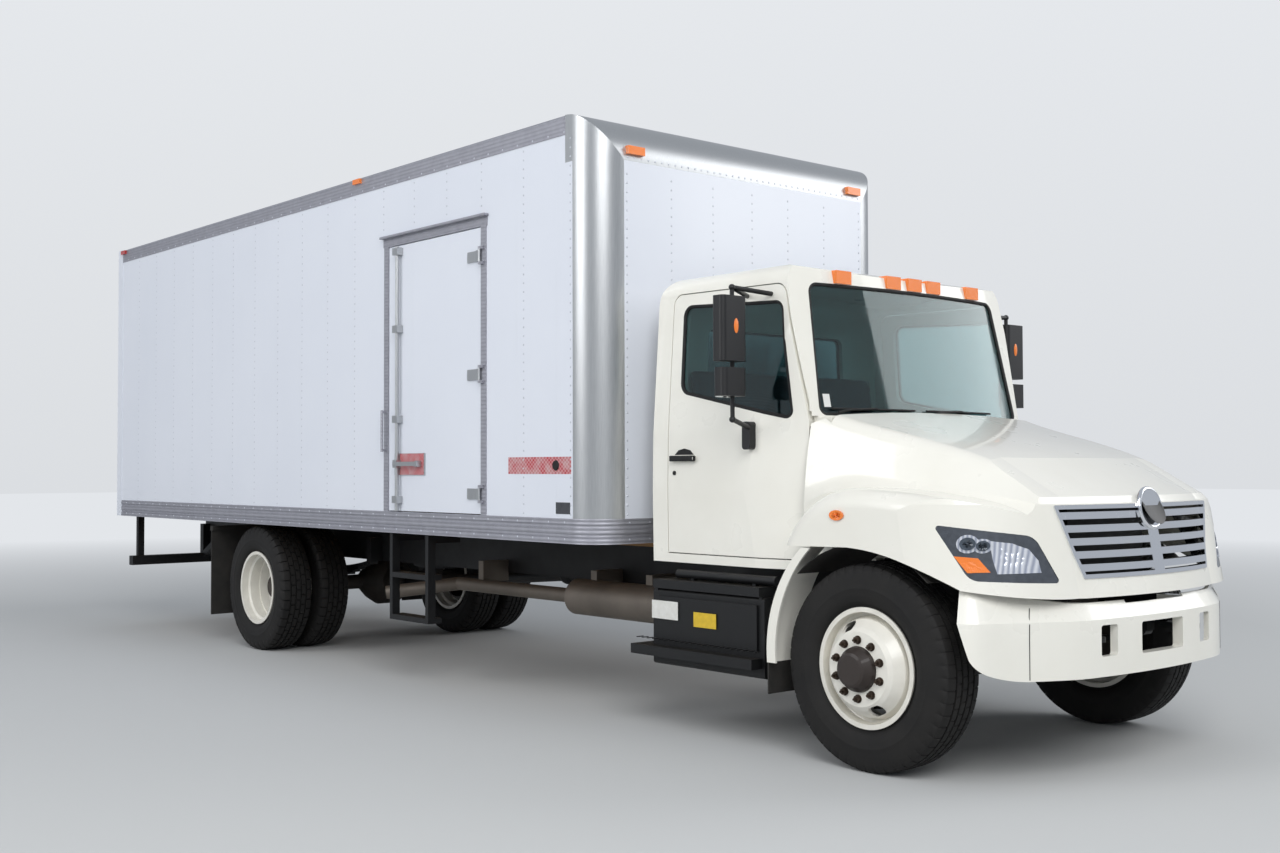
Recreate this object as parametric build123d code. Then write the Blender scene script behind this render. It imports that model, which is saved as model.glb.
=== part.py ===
from build123d import *
from math import cos, radians, sin, tan
import os

# A bonnetted two-axle box truck, in millimetres.
# The truck faces -Y, its left side is +X, and it stands on the floor at z = 0.
# Distances called "aft" are measured rearward from the front axle.

# Overall lengths along the truck
FRONT_OVERHANG = 945
CAB_BACK_AFT = 1700
CAB_BOX_GAP = 184
BOX_LENGTH = 7420
WHEELBASE = 6430
LENGTH = FRONT_OVERHANG + CAB_BACK_AFT + CAB_BOX_GAP + BOX_LENGTH
FRONT_AXLE_Y = FRONT_OVERHANG - LENGTH / 2
BOX_REAR_Y = LENGTH / 2
BOX_FRONT_Y = BOX_REAR_Y - BOX_LENGTH

# Clearances
SEAT_GAP = 0.3
RUNNING_FIT = 0.08
PANEL_GAP = 6

# Wheels and tyres
TYRE_RADIUS = 510
TYRE_WIDTH = 279
TYRE_SHOULDER_RADIUS = 492
TREAD_WIDTH = 220
RIM_FLANGE_RADIUS = 298
RIM_SEAT_RADIUS = 285
RIM_WELL_RADIUS = 262
RIM_WIDTH = 234
RIM_WALL = 11
DISC_OUTSET = 168
DISC_WALL = 12
HUB_HEIGHT = TYRE_RADIUS
FRONT_TYRE_X = 1011
REAR_OUTER_TYRE_X = 1102
REAR_INNER_TYRE_X = REAR_OUTER_TYRE_X - 2 * DISC_OUTSET
DRUM_RADIUS = 205
DRUM_LENGTH = 140
SPINDLE_RADIUS = 35

# Steering
KINGPIN_X = 868
KINGPIN_RADIUS = 22
KINGPIN_BOSS_RADIUS = 42
KINGPIN_BOSS_HEIGHT = 98
KNUCKLE_HEIGHT = 220
STEERING_ARM_LENGTH = 180
TIE_ROD_RADIUS = 19
BALL_PIN_RADIUS = 12

# Springs and axles
FRONT_SPRING_X = 388
FRONT_SPRING_HALF = 620
REAR_SPRING_X = 502
REAR_SPRING_HALF = 640
SPRING_WIDTH = 76
LEAF = 16
AXLE_TUBE_RADIUS = 62
AXLE_SPINDLE_RADIUS = 48

# Engine, gearbox, radiator and exhaust
ENGINE_HALF_WIDTH = 270
ENGINE_FRONT_AFT = -420
ENGINE_REAR_AFT = 380
ENGINE_BOTTOM = 610
ENGINE_TOP = 1330
GEARBOX_HALF_WIDTH = 190
GEARBOX_END_AFT = 1560
GEARBOX_SHAFT_Z = 720
RADIATOR_AFT = -640
RADIATOR_TOP = 1290
EXHAUST_X = -640
EXHAUST_Z = 640
MUFFLER_RADIUS = 118
PIPE_RADIUS = 48
DOWNPIPE_RADIUS = 38

# Frame
RAIL_OUTER_X = 430
RAIL_HEIGHT = 250
RAIL_FLANGE = 80
RAIL_WALL = 8
RAIL_TOP = 980
RAIL_FRONT_AFT = -700
RAIL_REAR_INSET = 90
CROSSMEMBER_WIDTH = 70
TOW_EYE_THICKNESS = 25
TOW_EYE_X = 445
TOW_EYE_AFT = -845
TOW_EYE_Z = 672
TOW_EYE_BORE_RADIUS = 20

# Steps, tank, battery box and rear guard
STEP_OUTER_X = 1150
STEP_INNER_X = 470
STEP_AFT = (720, 1610)
TREAD_Z = 425
TANK_BOTTOM = 370
TANK_TOP = 800
GUARD_BAR = 90
GUARD_BAR_Z = 560
GUARD_HALF_WIDTH = 1215
GUARD_SETBACK = 110

# Cab
CAB_FLOOR_Z = 950
CAB_UNDERSIDE = 1000
CAB_ROOF_Z = 2622
CAB_HALF_WIDTH = 1014
CAB_WALL = 50
FIREWALL_AFT = 415
COWL_Z = 1757
WINDSHIELD_RADIUS = 5000
WINDSHIELD_BASE_AFT = 423
DASH_HALF = 845
WINDSHIELD_RAKE = 11.6
GLASS = 8
GLASS_DEPTH = 10
DOOR_HINGE_AFT = 550
DOOR_HINGE_X = 920
DOOR_HINGE_HEIGHTS = (1110, 1560)
DOOR_HINGE_RELIEF = 30
DOOR_RELIEF_TOP = 1790
DOOR_SWEEP = (5, 10, 15, 20, 25, 28, 31, 34, 39, 48, 62)
DOOR_FLOOR_GAP = 16
DOOR_PIN_RADIUS = 4
DRIVER_X = 480
DASH_AFT = (FIREWALL_AFT + CAB_WALL, 905)
MIRROR_X = 1262
MIRROR_AFT = 800

# Hood, grille, bumper and front mudguards
FENDER_HALF_WIDTH = 1190
FENDER_ROUND = 95
SHOULDER_RADIUS = 90
HOOD_WALL = 12
HOOD_LIP_Z = 876
HOOD_REAR_AFT = 405
HOOD_STEP_X = 905
HOOD_SIDE_REAR = 515
HOOD_JOINT_Z = 1092
HOOD_PIVOT_AFT = -865
HOOD_PIVOT_Z = 945
HOOD_PIN_RADIUS = 8
HOOD_TAB_X = 374
HOOD_TAB_WIDTH = 20
FRONT_RAKE = 10
# Columns: how far the nose leans back in degrees, the height where that lean starts
NOSE_LEANS = ((FRONT_RAKE, 876), (36, 1318), (60, 1350))
BAR_COUNT = 5
BAR_HEIGHT = 34
GRILLE_BOTTOM = 966
GRILLE_TOP = 1312
RING_Z = 1287
RING_RADIUS = 96
BUMPER_BOTTOM = 505
BUMPER_FOLD = 775
BUMPER_TOP = 852
LIP_PASS_HALF = 270
LIP_PASS_AFT = -908
BUMPER_END_TOP = 922
BUMPER_LEAN = 30
BUMPER_HALF_WIDTH = 1180
BUMPER_WALL = 14
BUMPER_FLANGE = 35
TOW_HOLE_X = 445
MUDGUARD_INNER_X = 930
MUDGUARD_BOTTOM = 484

# Cargo box
BOX_WIDTH = 2594
BOX_BOTTOM = 1040
BOX_TOP = 3620
BOX_WALL = 40
RAIL_PROUD = 4
BOTTOM_RAIL_HEIGHT = 150
TOP_RAIL_HEIGHT = 120
CORNER_RADIUS = 220
NOSE_RADIUS = 290
FLOOR_THICKNESS = 50
ROOF_THICKNESS = 20
REAR_FRAME_DEPTH = 110
REAR_POST_WIDTH = 100
REAR_HEADER_HEIGHT = 215
SIDE_DOOR_FRONT = 1176
SIDE_DOOR_WIDTH = 1150
SIDE_DOOR_HEIGHT = 1870
SIDE_DOOR_HINGE_OFFSET = 14
HINGE_HEIGHTS = (1325, 2100, 2870)
HINGE_HALF = 40
HINGE_RADIUS = 9
HINGE_PIN_RADIUS = 4
LOCK_ROD_INSET = 150
SILL_PITCH = 405
SILL_WIDTH = 60
BOW_PITCH = 610
SLAT_COUNT = 8

BOX_HALF = BOX_WIDTH / 2
WALL_FACE = BOX_HALF - RAIL_PROUD
FLOOR_TOP = BOX_BOTTOM + BOTTOM_RAIL_HEIGHT
REAR_AXLE_Y = FRONT_AXLE_Y + WHEELBASE
RAIL_BOTTOM = RAIL_TOP - RAIL_HEIGHT
RAIL_FRONT_Y = FRONT_AXLE_Y + RAIL_FRONT_AFT
RAIL_REAR_Y = BOX_REAR_Y - RAIL_REAR_INSET
SIDE_DOOR_Y = BOX_FRONT_Y + SIDE_DOOR_FRONT
SIDE_DOOR_END = SIDE_DOOR_Y + SIDE_DOOR_WIDTH
SIDE_DOOR_TOP = FLOOR_TOP + SIDE_DOOR_HEIGHT
LOCK_ROD_Y = SIDE_DOOR_END - LOCK_ROD_INSET
FRONT_SPRING_SEAT = HUB_HEIGHT - 4
REAR_SPRING_SEAT = HUB_HEIGHT + 76
PINION_Y = REAR_AXLE_Y - 380
SEAT_Z = CAB_UNDERSIDE + CAB_WALL
FAR = 6000


def aft(distance):
    """The y of a place that lies this far behind the front axle."""
    return FRONT_AXLE_Y + distance


def block(x, y, z):
    """A box between two x, two y and two z values."""
    centre = Pos((x[0] + x[1]) / 2, (y[0] + y[1]) / 2, (z[0] + z[1]) / 2)
    return centre * Box(x[1] - x[0], y[1] - y[0], z[1] - z[0])


def mirrored(shape):
    """The same piece on the truck's other side."""
    return mirror(shape, about=Plane.YZ)


def both_sides(shape):
    """The piece and its mirror image, as two solids that don't touch."""
    return Compound(children=[shape.solid(), mirrored(shape).solid()])


def side_prism(points, x):
    """A prism across the truck, from an outline of (y, z) points."""
    outline = Polyline(*[(x[0], y, z) for y, z in points], close=True)
    return extrude(make_face(outline), amount=x[1] - x[0], dir=(1, 0, 0))


def front_prism(points, y):
    """A prism along the truck, from an outline of (x, z) points."""
    outline = Polyline(*[(px, y[0], pz) for px, pz in points], close=True)
    return extrude(make_face(outline), amount=y[1] - y[0], dir=(0, 1, 0))


def rod(start, end, radius):
    """A round bar from one point to another."""
    line = Vector(*end) - Vector(*start)
    plane = Plane(origin=start, z_dir=line)
    return extrude(plane * Circle(radius), amount=line.length)


def turned(points, place):
    """A solid turned about an axle line through place, from (offset, radius) points."""
    outline = Polyline(*[(offset, radius) for offset, radius in points], close=True)
    solid = revolve(make_face(outline), axis=Axis.X)
    return Pos(*place) * solid


def save(name, shape):
    """Write one named piece."""
    export_step(shape, os.path.join("parts", name + ".step"))


# Tyres and wheels

def tyre(centre_x, centre_y):
    """A radial truck tyre round its rim, with rounded sidewalls."""
    half = TYRE_WIDTH / 2
    tread = TREAD_WIDTH / 2
    bead = RIM_SEAT_RADIUS + SEAT_GAP
    lip = RIM_WIDTH / 2 - 14
    bulge = (TYRE_SHOULDER_RADIUS + RIM_FLANGE_RADIUS) / 2
    crown = Polyline((-half + 8, TYRE_SHOULDER_RADIUS - 22), (-tread, TYRE_RADIUS - 6), (-tread + 20, TYRE_RADIUS),
                     (tread - 20, TYRE_RADIUS), (tread, TYRE_RADIUS - 6), (half - 8, TYRE_SHOULDER_RADIUS - 22))
    right = ThreePointArc((half - 8, TYRE_SHOULDER_RADIUS - 22), (half, bulge), (lip, RIM_FLANGE_RADIUS + 8))
    left = ThreePointArc((-half + 8, TYRE_SHOULDER_RADIUS - 22), (-half, bulge), (-lip, RIM_FLANGE_RADIUS + 8))
    beads = Polyline((lip, RIM_FLANGE_RADIUS + 8), (lip, bead), (-lip, bead), (-lip, RIM_FLANGE_RADIUS + 8))
    section = make_face(crown + right + left + beads)
    return Pos(centre_x, centre_y, HUB_HEIGHT) * revolve(section, axis=Axis.X)


def rim_ring(centre_x, centre_y):
    """The drop-centre rim that a tyre sits on."""
    edge = RIM_WIDTH / 2
    seat = edge - 13
    well = RIM_WIDTH / 4
    outer = [(-edge, RIM_FLANGE_RADIUS), (-seat, RIM_FLANGE_RADIUS - 3), (-seat, RIM_SEAT_RADIUS),
             (-well, RIM_SEAT_RADIUS - 4), (-well + 10, RIM_WELL_RADIUS)]
    inner = [(-well + 6, RIM_WELL_RADIUS - RIM_WALL), (-well - 4, RIM_SEAT_RADIUS - RIM_WALL - 4),
             (-edge, RIM_SEAT_RADIUS - RIM_WALL)]
    outline = outer + [(-s, r) for s, r in reversed(outer)]
    outline += [(-s, r) for s, r in reversed(inner)] + inner
    return turned(outline, (centre_x, centre_y, HUB_HEIGHT))


def wheel_disc(centre_x, centre_y, outward):
    """The dished disc from a rim's well to its hub face, with two hand holes."""
    face = DISC_OUTSET
    back = face - DISC_WALL
    well = RIM_WELL_RADIUS - RIM_WALL / 2
    profile = [(28, well), (44, well), (104, 240), (150, 204), (face, 182), (face, 112), (back, 112),
               (back, 176), (140, 194), (94, 228), (28, 238)]
    disc = turned([(outward * s, r) for s, r in profile], (centre_x, centre_y, HUB_HEIGHT))
    for turn in (0, 180):
        slot = Plane.YZ * SlotCenterToCenter(40, 46)
        hole = extrude(Pos(0, 0, 214) * slot, amount=FAR / 10, both=True)
        disc -= Pos(centre_x, centre_y, HUB_HEIGHT) * Rot(-24 + turn, 0, 0) * hole
    return disc


def front_wheel(side):
    """Rim, disc, brake drum and hub of a front wheel, with a bore for the spindle."""
    centre_x = side * FRONT_TYRE_X
    place = (centre_x, FRONT_AXLE_Y, HUB_HEIGHT)
    wheel = rim_ring(centre_x, FRONT_AXLE_Y) + wheel_disc(centre_x, FRONT_AXLE_Y, side)
    drum_back = -95
    bore = SPINDLE_RADIUS + RUNNING_FIT
    hub = [(drum_back, DRUM_RADIUS), (drum_back + DRUM_LENGTH, DRUM_RADIUS), (drum_back + DRUM_LENGTH, 90),
           (DISC_OUTSET - DISC_WALL, 90), (DISC_OUTSET - DISC_WALL, 165), (DISC_OUTSET - DISC_WALL + 1, 165),
           (DISC_OUTSET, 112), (DISC_OUTSET + 22, 108), (DISC_OUTSET + 60, 84), (DISC_OUTSET + 66, 70),
           (DISC_OUTSET + 66, 0), (DISC_OUTSET + 40, 0), (DISC_OUTSET + 40, bore), (drum_back + 60, bore),
           (drum_back + 60, 60), (drum_back + DRUM_LENGTH - 14, 60), (drum_back + DRUM_LENGTH - 14, DRUM_RADIUS - 14),
           (drum_back, DRUM_RADIUS - 14)]
    return wheel + turned([(side * s, r) for s, r in hub], place)


def rear_wheel_pair(side):
    """The two rims of a twin wheel, disc to disc on one hub and drum."""
    outer = rim_ring(side * REAR_OUTER_TYRE_X, REAR_AXLE_Y)
    outer += wheel_disc(side * REAR_OUTER_TYRE_X, REAR_AXLE_Y, -side)
    inner = rim_ring(side * REAR_INNER_TYRE_X, REAR_AXLE_Y)
    inner += wheel_disc(side * REAR_INNER_TYRE_X, REAR_AXLE_Y, side)
    join = REAR_INNER_TYRE_X + DISC_OUTSET
    bore = AXLE_SPINDLE_RADIUS + RUNNING_FIT
    hub = [(join - 190, DRUM_RADIUS), (join - DISC_WALL, DRUM_RADIUS), (join - DISC_WALL, 112), (join + 60, 108),
           (join + 140, 84), (join + 148, 84), (join + 148, 0), (join + 120, 0), (join + 120, bore),
           (join - 60, bore), (join - 60, DRUM_RADIUS - 14), (join - 190, DRUM_RADIUS - 14)]
    place = (0, REAR_AXLE_Y, HUB_HEIGHT)
    return outer + inner + turned([(side * s, r) for s, r in hub], place)


# Front axle, knuckles and steering

def front_axle():
    """A dropped I-beam whose end bosses hold the kingpins."""
    drop = HUB_HEIGHT - 105
    top = drop + 95
    reach = KINGPIN_X - KINGPIN_BOSS_RADIUS + 4
    low = HUB_HEIGHT - KINGPIN_BOSS_HEIGHT / 2
    high = HUB_HEIGHT + KINGPIN_BOSS_HEIGHT / 2
    outline = [(-reach, low), (-reach + 60, low), (-reach + 150, drop), (reach - 150, drop), (reach - 60, low),
               (reach, low), (reach, high), (reach - 90, high), (reach - 190, top), (-reach + 190, top),
               (-reach + 90, high), (-reach, high)]
    beam = front_prism(outline, (aft(-42), aft(42)))
    pocket_top = top - 16
    pocket_low = drop + 16
    pocket = reach - 200
    for y in ((aft(-43), aft(-12)), (aft(12), aft(43))):
        beam -= block((-pocket, pocket), y, (pocket_low, pocket_top))
    for side in (-1, 1):
        place = Pos(side * KINGPIN_X, FRONT_AXLE_Y, HUB_HEIGHT)
        beam += place * Cylinder(KINGPIN_BOSS_RADIUS, KINGPIN_BOSS_HEIGHT)
        beam -= place * Cylinder(KINGPIN_RADIUS + RUNNING_FIT, KINGPIN_BOSS_HEIGHT + 2)
        seat_x = sorted((side * (FRONT_SPRING_X - 45), side * (FRONT_SPRING_X + 45)))
        beam += block(seat_x, (aft(-70), aft(70)), (top - 6, FRONT_SPRING_SEAT))
    return beam


def knuckle(side):
    """Steering knuckle: yoke, kingpin, spindle, brake plate and steering arm."""
    place = Pos(side * KINGPIN_X, FRONT_AXLE_Y, HUB_HEIGHT)
    gap = KINGPIN_BOSS_HEIGHT / 2 + 2
    ear_radius = KINGPIN_BOSS_RADIUS + 2
    half = KNUCKLE_HEIGHT / 2
    ear = half - gap
    body = Pos(0, 0, gap + ear / 2) * Cylinder(ear_radius, ear)
    body += Pos(0, 0, -gap - ear / 2) * Cylinder(ear_radius, ear)
    post_x = KINGPIN_BOSS_RADIUS + 4
    plate_x = 52
    body += block((post_x, plate_x), (-ear_radius, ear_radius), (-half, half))
    body += block((0, post_x), (-ear_radius, ear_radius), (gap, half))
    body += block((0, post_x), (-ear_radius, ear_radius), (-half, -gap))
    body += Cylinder(KINGPIN_RADIUS, KNUCKLE_HEIGHT)
    spindle_end = FRONT_TYRE_X - KINGPIN_X + DISC_OUTSET + 30
    body += Pos((post_x + spindle_end) / 2, 0, 0) * Rot(0, 90, 0) * Cylinder(SPINDLE_RADIUS, spindle_end - post_x)
    plate = Rot(0, 90, 0) * Cylinder(DRUM_RADIUS - 18, 6)
    body += Pos(plate_x - 3, 0, 0) * plate
    arm_top = -half + 30
    body += block((-14, 14), (20, STEERING_ARM_LENGTH), (-half, arm_top))
    body += Pos(0, STEERING_ARM_LENGTH, -half + 15) * Cylinder(26, 30)
    body += Pos(0, STEERING_ARM_LENGTH, -half - 30) * Cylinder(BALL_PIN_RADIUS, 60)
    if side < 0:
        body = mirrored(body)
    return place * body


def tie_rod():
    """The rod that joins the two steering arms behind the axle."""
    half = KNUCKLE_HEIGHT / 2
    y = aft(STEERING_ARM_LENGTH)
    z = HUB_HEIGHT - half - 32
    solid = rod((-KINGPIN_X, y, z), (KINGPIN_X, y, z), TIE_ROD_RADIUS)
    for side in (-1, 1):
        place = Pos(side * KINGPIN_X, y, z)
        solid += place * Cylinder(28, 52)
        solid -= place * Cylinder(BALL_PIN_RADIUS + RUNNING_FIT, 60)
    return solid


# Springs, rear axle, engine, drive line and exhaust

def leaf_spring(centre_x, centre_y, seat_z, half_length, rise, leaves, hanger_z, hanger_x):
    """A pack of curved leaves with an eye and a hanger at each end."""
    x = (centre_x - SPRING_WIDTH / 2, centre_x + SPRING_WIDTH / 2)
    pack = None
    for number in range(leaves):
        low = seat_z + number * LEAF
        share = 0.45 + 0.55 * number / (leaves - 1)
        reach = half_length * share
        lift = rise * share * share
        under = ThreePointArc((-reach, low + lift), (0, low), (reach, low + lift))
        over = ThreePointArc((reach, low + lift + LEAF), (0, low + LEAF), (-reach, low + lift + LEAF))
        ends = Line((reach, low + lift), (reach, low + lift + LEAF))
        ends += Line((-reach, low + lift + LEAF), (-reach, low + lift))
        leaf = extrude(Plane.YZ * make_face(under + over + ends), amount=SPRING_WIDTH / 2, both=True)
        pack = leaf if pack is None else pack + leaf
    eye_z = seat_z + (leaves - 1) * LEAF + rise + LEAF / 2
    for end in (-1, 1):
        eye = Rot(0, 90, 0) * Cylinder(26, SPRING_WIDTH)
        pack += Pos(0, end * half_length, eye_z) * eye
    pack = Pos(centre_x, centre_y, 0) * pack
    for end in (-1, 1):
        y = centre_y + end * half_length
        pack += block(hanger_x, (y - 34, y + 34), (eye_z, hanger_z))
    return pack


def leaf_springs():
    """Two front and two rear spring packs."""
    front_x = (FRONT_SPRING_X - SPRING_WIDTH / 2, FRONT_SPRING_X + SPRING_WIDTH / 2)
    rear_x = (RAIL_OUTER_X, REAR_SPRING_X + SPRING_WIDTH / 2)
    front = leaf_spring(FRONT_SPRING_X, FRONT_AXLE_Y, FRONT_SPRING_SEAT, FRONT_SPRING_HALF, 90, 3, RAIL_BOTTOM, front_x)
    rear = leaf_spring(REAR_SPRING_X, REAR_AXLE_Y, REAR_SPRING_SEAT, REAR_SPRING_HALF, 70, 5, RAIL_TOP - 60, rear_x)
    solids = [front.solid(), mirrored(front).solid(), rear.solid(), mirrored(rear).solid()]
    return Compound(children=solids)


def rear_axle():
    """A banjo axle housing with its nose, spring pads and spindles."""
    reach = REAR_INNER_TYRE_X + DISC_OUTSET
    tube_end = reach - 196
    profile = [(-reach - 100, 0), (-reach - 100, AXLE_SPINDLE_RADIUS), (-tube_end, AXLE_SPINDLE_RADIUS),
               (-tube_end, AXLE_TUBE_RADIUS), (-260, AXLE_TUBE_RADIUS), (-170, 150), (-80, 205), (80, 205),
               (170, 150), (260, AXLE_TUBE_RADIUS), (tube_end, AXLE_TUBE_RADIUS),
               (tube_end, AXLE_SPINDLE_RADIUS), (reach + 100, AXLE_SPINDLE_RADIUS), (reach + 100, 0)]
    housing = turned(profile, (0, REAR_AXLE_Y, HUB_HEIGHT))
    nose = [(0, 150), (260, 120), (330, 80), (380, 62), (380, 0), (0, 0)]
    outline = Polyline(*nose, close=True)
    pinion = revolve(make_face(outline), axis=Axis.X)
    housing += Pos(0, REAR_AXLE_Y, HUB_HEIGHT) * Rot(0, 0, -90) * pinion
    for side in (-1, 1):
        x = sorted((side * (REAR_SPRING_X - 45), side * (REAR_SPRING_X + 45)))
        housing += block(x, (REAR_AXLE_Y - 75, REAR_AXLE_Y + 75), (HUB_HEIGHT - 20, REAR_SPRING_SEAT))
    return housing


def engine_block():
    """Engine and gearbox as one plain block with a narrower rear, on two mounts to the rails."""
    engine = block((-ENGINE_HALF_WIDTH, ENGINE_HALF_WIDTH), (aft(ENGINE_FRONT_AFT), aft(ENGINE_REAR_AFT)),
                   (ENGINE_BOTTOM, ENGINE_TOP))
    bell_end = aft(GEARBOX_END_AFT - 60)
    engine += side_prism([(aft(ENGINE_REAR_AFT - 10), ENGINE_BOTTOM + 30), (aft(ENGINE_REAR_AFT - 10), 900),
                          (aft(620), 900), (bell_end, 820), (bell_end, ENGINE_BOTTOM + 60)],
                         (-GEARBOX_HALF_WIDTH, GEARBOX_HALF_WIDTH))
    engine += rod((0, bell_end - 10, GEARBOX_SHAFT_Z), (0, aft(GEARBOX_END_AFT), GEARBOX_SHAFT_Z), 80)
    engine += side_prism([(aft(-330), ENGINE_BOTTOM + 5), (aft(300), ENGINE_BOTTOM + 5), (aft(280), ENGINE_BOTTOM - 50),
                          (aft(-250), ENGINE_BOTTOM - 50)], (-180, 180))
    web = RAIL_OUTER_X - RAIL_WALL
    engine += block((-web, web), (aft(-40), aft(40)), (RAIL_BOTTOM + RAIL_WALL + 10, RAIL_TOP - RAIL_WALL - 10))
    return engine


def radiator():
    """The radiator that shows behind the grille, standing on the front crossmember."""
    y = (aft(RADIATOR_AFT) + 5, aft(RADIATOR_AFT) + CROSSMEMBER_WIDTH - 5)
    return block((-RAIL_OUTER_X + RAIL_FLANGE, RAIL_OUTER_X - RAIL_FLANGE), y, (RAIL_TOP - RAIL_WALL, RADIATOR_TOP))


def drive_shaft():
    """Two tubes with a joint between them, from the gearbox to the rear axle."""
    start = (0, aft(GEARBOX_END_AFT) + SEAT_GAP, GEARBOX_SHAFT_Z)
    middle = (0, (aft(GEARBOX_END_AFT) + PINION_Y) / 2, 700)
    end = (0, PINION_Y - SEAT_GAP, HUB_HEIGHT)
    shaft = rod(start, (0, start[1] + 30, GEARBOX_SHAFT_Z), 75)
    shaft += rod((0, start[1] + 20, GEARBOX_SHAFT_Z), middle, 46)
    shaft += Pos(*middle) * Sphere(72)
    shaft += rod(middle, (0, end[1] - 20, HUB_HEIGHT), 46)
    shaft += rod((0, end[1] - 30, HUB_HEIGHT), end, 62)
    return shaft


def exhaust():
    """Down pipe, muffler and tail pipe, with hanger straps to the rail."""
    side_x = -(ENGINE_HALF_WIDTH + GEARBOX_HALF_WIDTH) / 2 - 2
    muffler = (aft(1980), aft(2880))
    # Columns: x, y and z where each run starts, its radius, then x, y and z where it ends
    runs = [
        (side_x, aft(ENGINE_REAR_AFT) + SEAT_GAP, EXHAUST_Z + 20, DOWNPIPE_RADIUS, side_x, aft(1250), EXHAUST_Z + 20),
        (side_x, aft(1250), EXHAUST_Z + 20, DOWNPIPE_RADIUS, -330, aft(1640), EXHAUST_Z),
        (-330, aft(1640), EXHAUST_Z, PIPE_RADIUS, EXHAUST_X, muffler[0] + 10, EXHAUST_Z),
        (EXHAUST_X, muffler[0], EXHAUST_Z, MUFFLER_RADIUS, EXHAUST_X, muffler[1], EXHAUST_Z),
        (EXHAUST_X, muffler[1] - 10, EXHAUST_Z, PIPE_RADIUS, EXHAUST_X, aft(4300), EXHAUST_Z),
        (EXHAUST_X, aft(4300), EXHAUST_Z, PIPE_RADIUS, -1080, aft(4600), EXHAUST_Z - 60),
    ]
    body = None
    for x, y, z, radius, end_x, end_y, end_z in runs:
        run = rod((x, y, z), (end_x, end_y, end_z), radius)
        if body is None:
            body = run
        elif radius < MUFFLER_RADIUS:
            body += run + Pos(x, y, z) * Sphere(radius)
        else:
            body += run
    for y in (aft(2150), aft(2700), aft(4000)):
        body += block((EXHAUST_X - 12, -RAIL_OUTER_X), (y - 30, y + 30), (EXHAUST_Z + 30, RAIL_BOTTOM + 90))
    return body


# Frame

def frame_rails():
    """Two channel rails, each with a tow eye and the bracket and pin of a hood hinge at its front end."""
    web = block((RAIL_OUTER_X - RAIL_FLANGE, RAIL_OUTER_X), (RAIL_FRONT_Y, RAIL_REAR_Y), (RAIL_BOTTOM, RAIL_TOP))
    hollow = block((RAIL_OUTER_X - RAIL_FLANGE - 1, RAIL_OUTER_X - RAIL_WALL), (RAIL_FRONT_Y - 1, RAIL_REAR_Y + 1),
                   (RAIL_BOTTOM + RAIL_WALL, RAIL_TOP - RAIL_WALL))
    rail = web - hollow
    eye = (TOW_EYE_X, aft(TOW_EYE_AFT))
    plate_z = (TOW_EYE_Z - TOW_EYE_THICKNESS / 2, TOW_EYE_Z + TOW_EYE_THICKNESS / 2)
    plate = Pos(*eye, TOW_EYE_Z) * Cylinder(45, TOW_EYE_THICKNESS)
    plate += block((eye[0] - 45, eye[0] + 45), (eye[1], RAIL_FRONT_Y + 10), plate_z)
    plate += side_prism([(RAIL_FRONT_Y - 15, plate_z[0]), (RAIL_FRONT_Y - 15, plate_z[1]), (RAIL_FRONT_Y, RAIL_TOP - 60),
                         (RAIL_FRONT_Y + 200, RAIL_TOP - 60), (RAIL_FRONT_Y + 200, RAIL_BOTTOM + 20),
                         (RAIL_FRONT_Y + 20, plate_z[0])], (RAIL_OUTER_X, RAIL_OUTER_X + 20))
    bore = Pos(*eye, TOW_EYE_Z) * Cylinder(TOW_EYE_BORE_RADIUS, TOW_EYE_THICKNESS + 10)
    bracket_x = (RAIL_OUTER_X - RAIL_WALL - 20, RAIL_OUTER_X - RAIL_WALL)
    pivot = (aft(HOOD_PIVOT_AFT), HOOD_PIVOT_Z)
    bracket = block(bracket_x, (pivot[0], RAIL_FRONT_Y + 50), (HOOD_PIVOT_Z - 14, HOOD_PIVOT_Z + 14))
    bracket += rod((bracket_x[0], *pivot), (bracket_x[1], *pivot), 14)
    bracket += rod((HOOD_TAB_X - 4, *pivot), (bracket_x[0] + 1, *pivot), HOOD_PIN_RADIUS)
    return both_sides(rail + plate - bore + bracket)


def frame_crossmembers():
    """Cross channels between the rails, one of them under the engine's front."""
    spots = [RADIATOR_AFT, 1830, 2750, (1560 + WHEELBASE) / 2 + 120, 4900, WHEELBASE - 760, WHEELBASE + 760]
    inner = RAIL_OUTER_X - RAIL_WALL
    members = []
    for spot in spots:
        y = (aft(spot), aft(spot) + CROSSMEMBER_WIDTH)
        member = block((-inner, inner), y, (RAIL_TOP - 130, RAIL_TOP - RAIL_WALL))
        member -= block((-inner + 10, inner - 10), (y[0] + 8, y[1] + 1), (RAIL_TOP - 122, RAIL_TOP - RAIL_WALL - 8))
        members.append(member.solid())
    end = block((-inner, inner), (RAIL_REAR_Y - 60, RAIL_REAR_Y), (RAIL_BOTTOM + RAIL_WALL, RAIL_TOP - RAIL_WALL))
    members.append(end.solid())
    return Compound(children=members)


# Tank, battery box, steps and rear guard

def step_treads():
    """The lower tread with its side plates and the narrow upper tread."""
    y = (aft(STEP_AFT[0]), aft(STEP_AFT[1]))
    inner = STEP_OUTER_X - 220
    treads = block((inner, STEP_OUTER_X + 20), (y[0] + 20, y[1] + 110), (TREAD_Z, TREAD_Z + 55))
    treads += block((inner, STEP_OUTER_X - 40), (y[0] + 20, y[1] - 20), (TANK_TOP + 5, TANK_TOP + 55))
    for edge in (y[0] + 20, y[1] - 40):
        treads += block((inner, STEP_OUTER_X - 60), (edge, edge + 20), (TREAD_Z, TANK_TOP + 25))
    return treads


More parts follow.
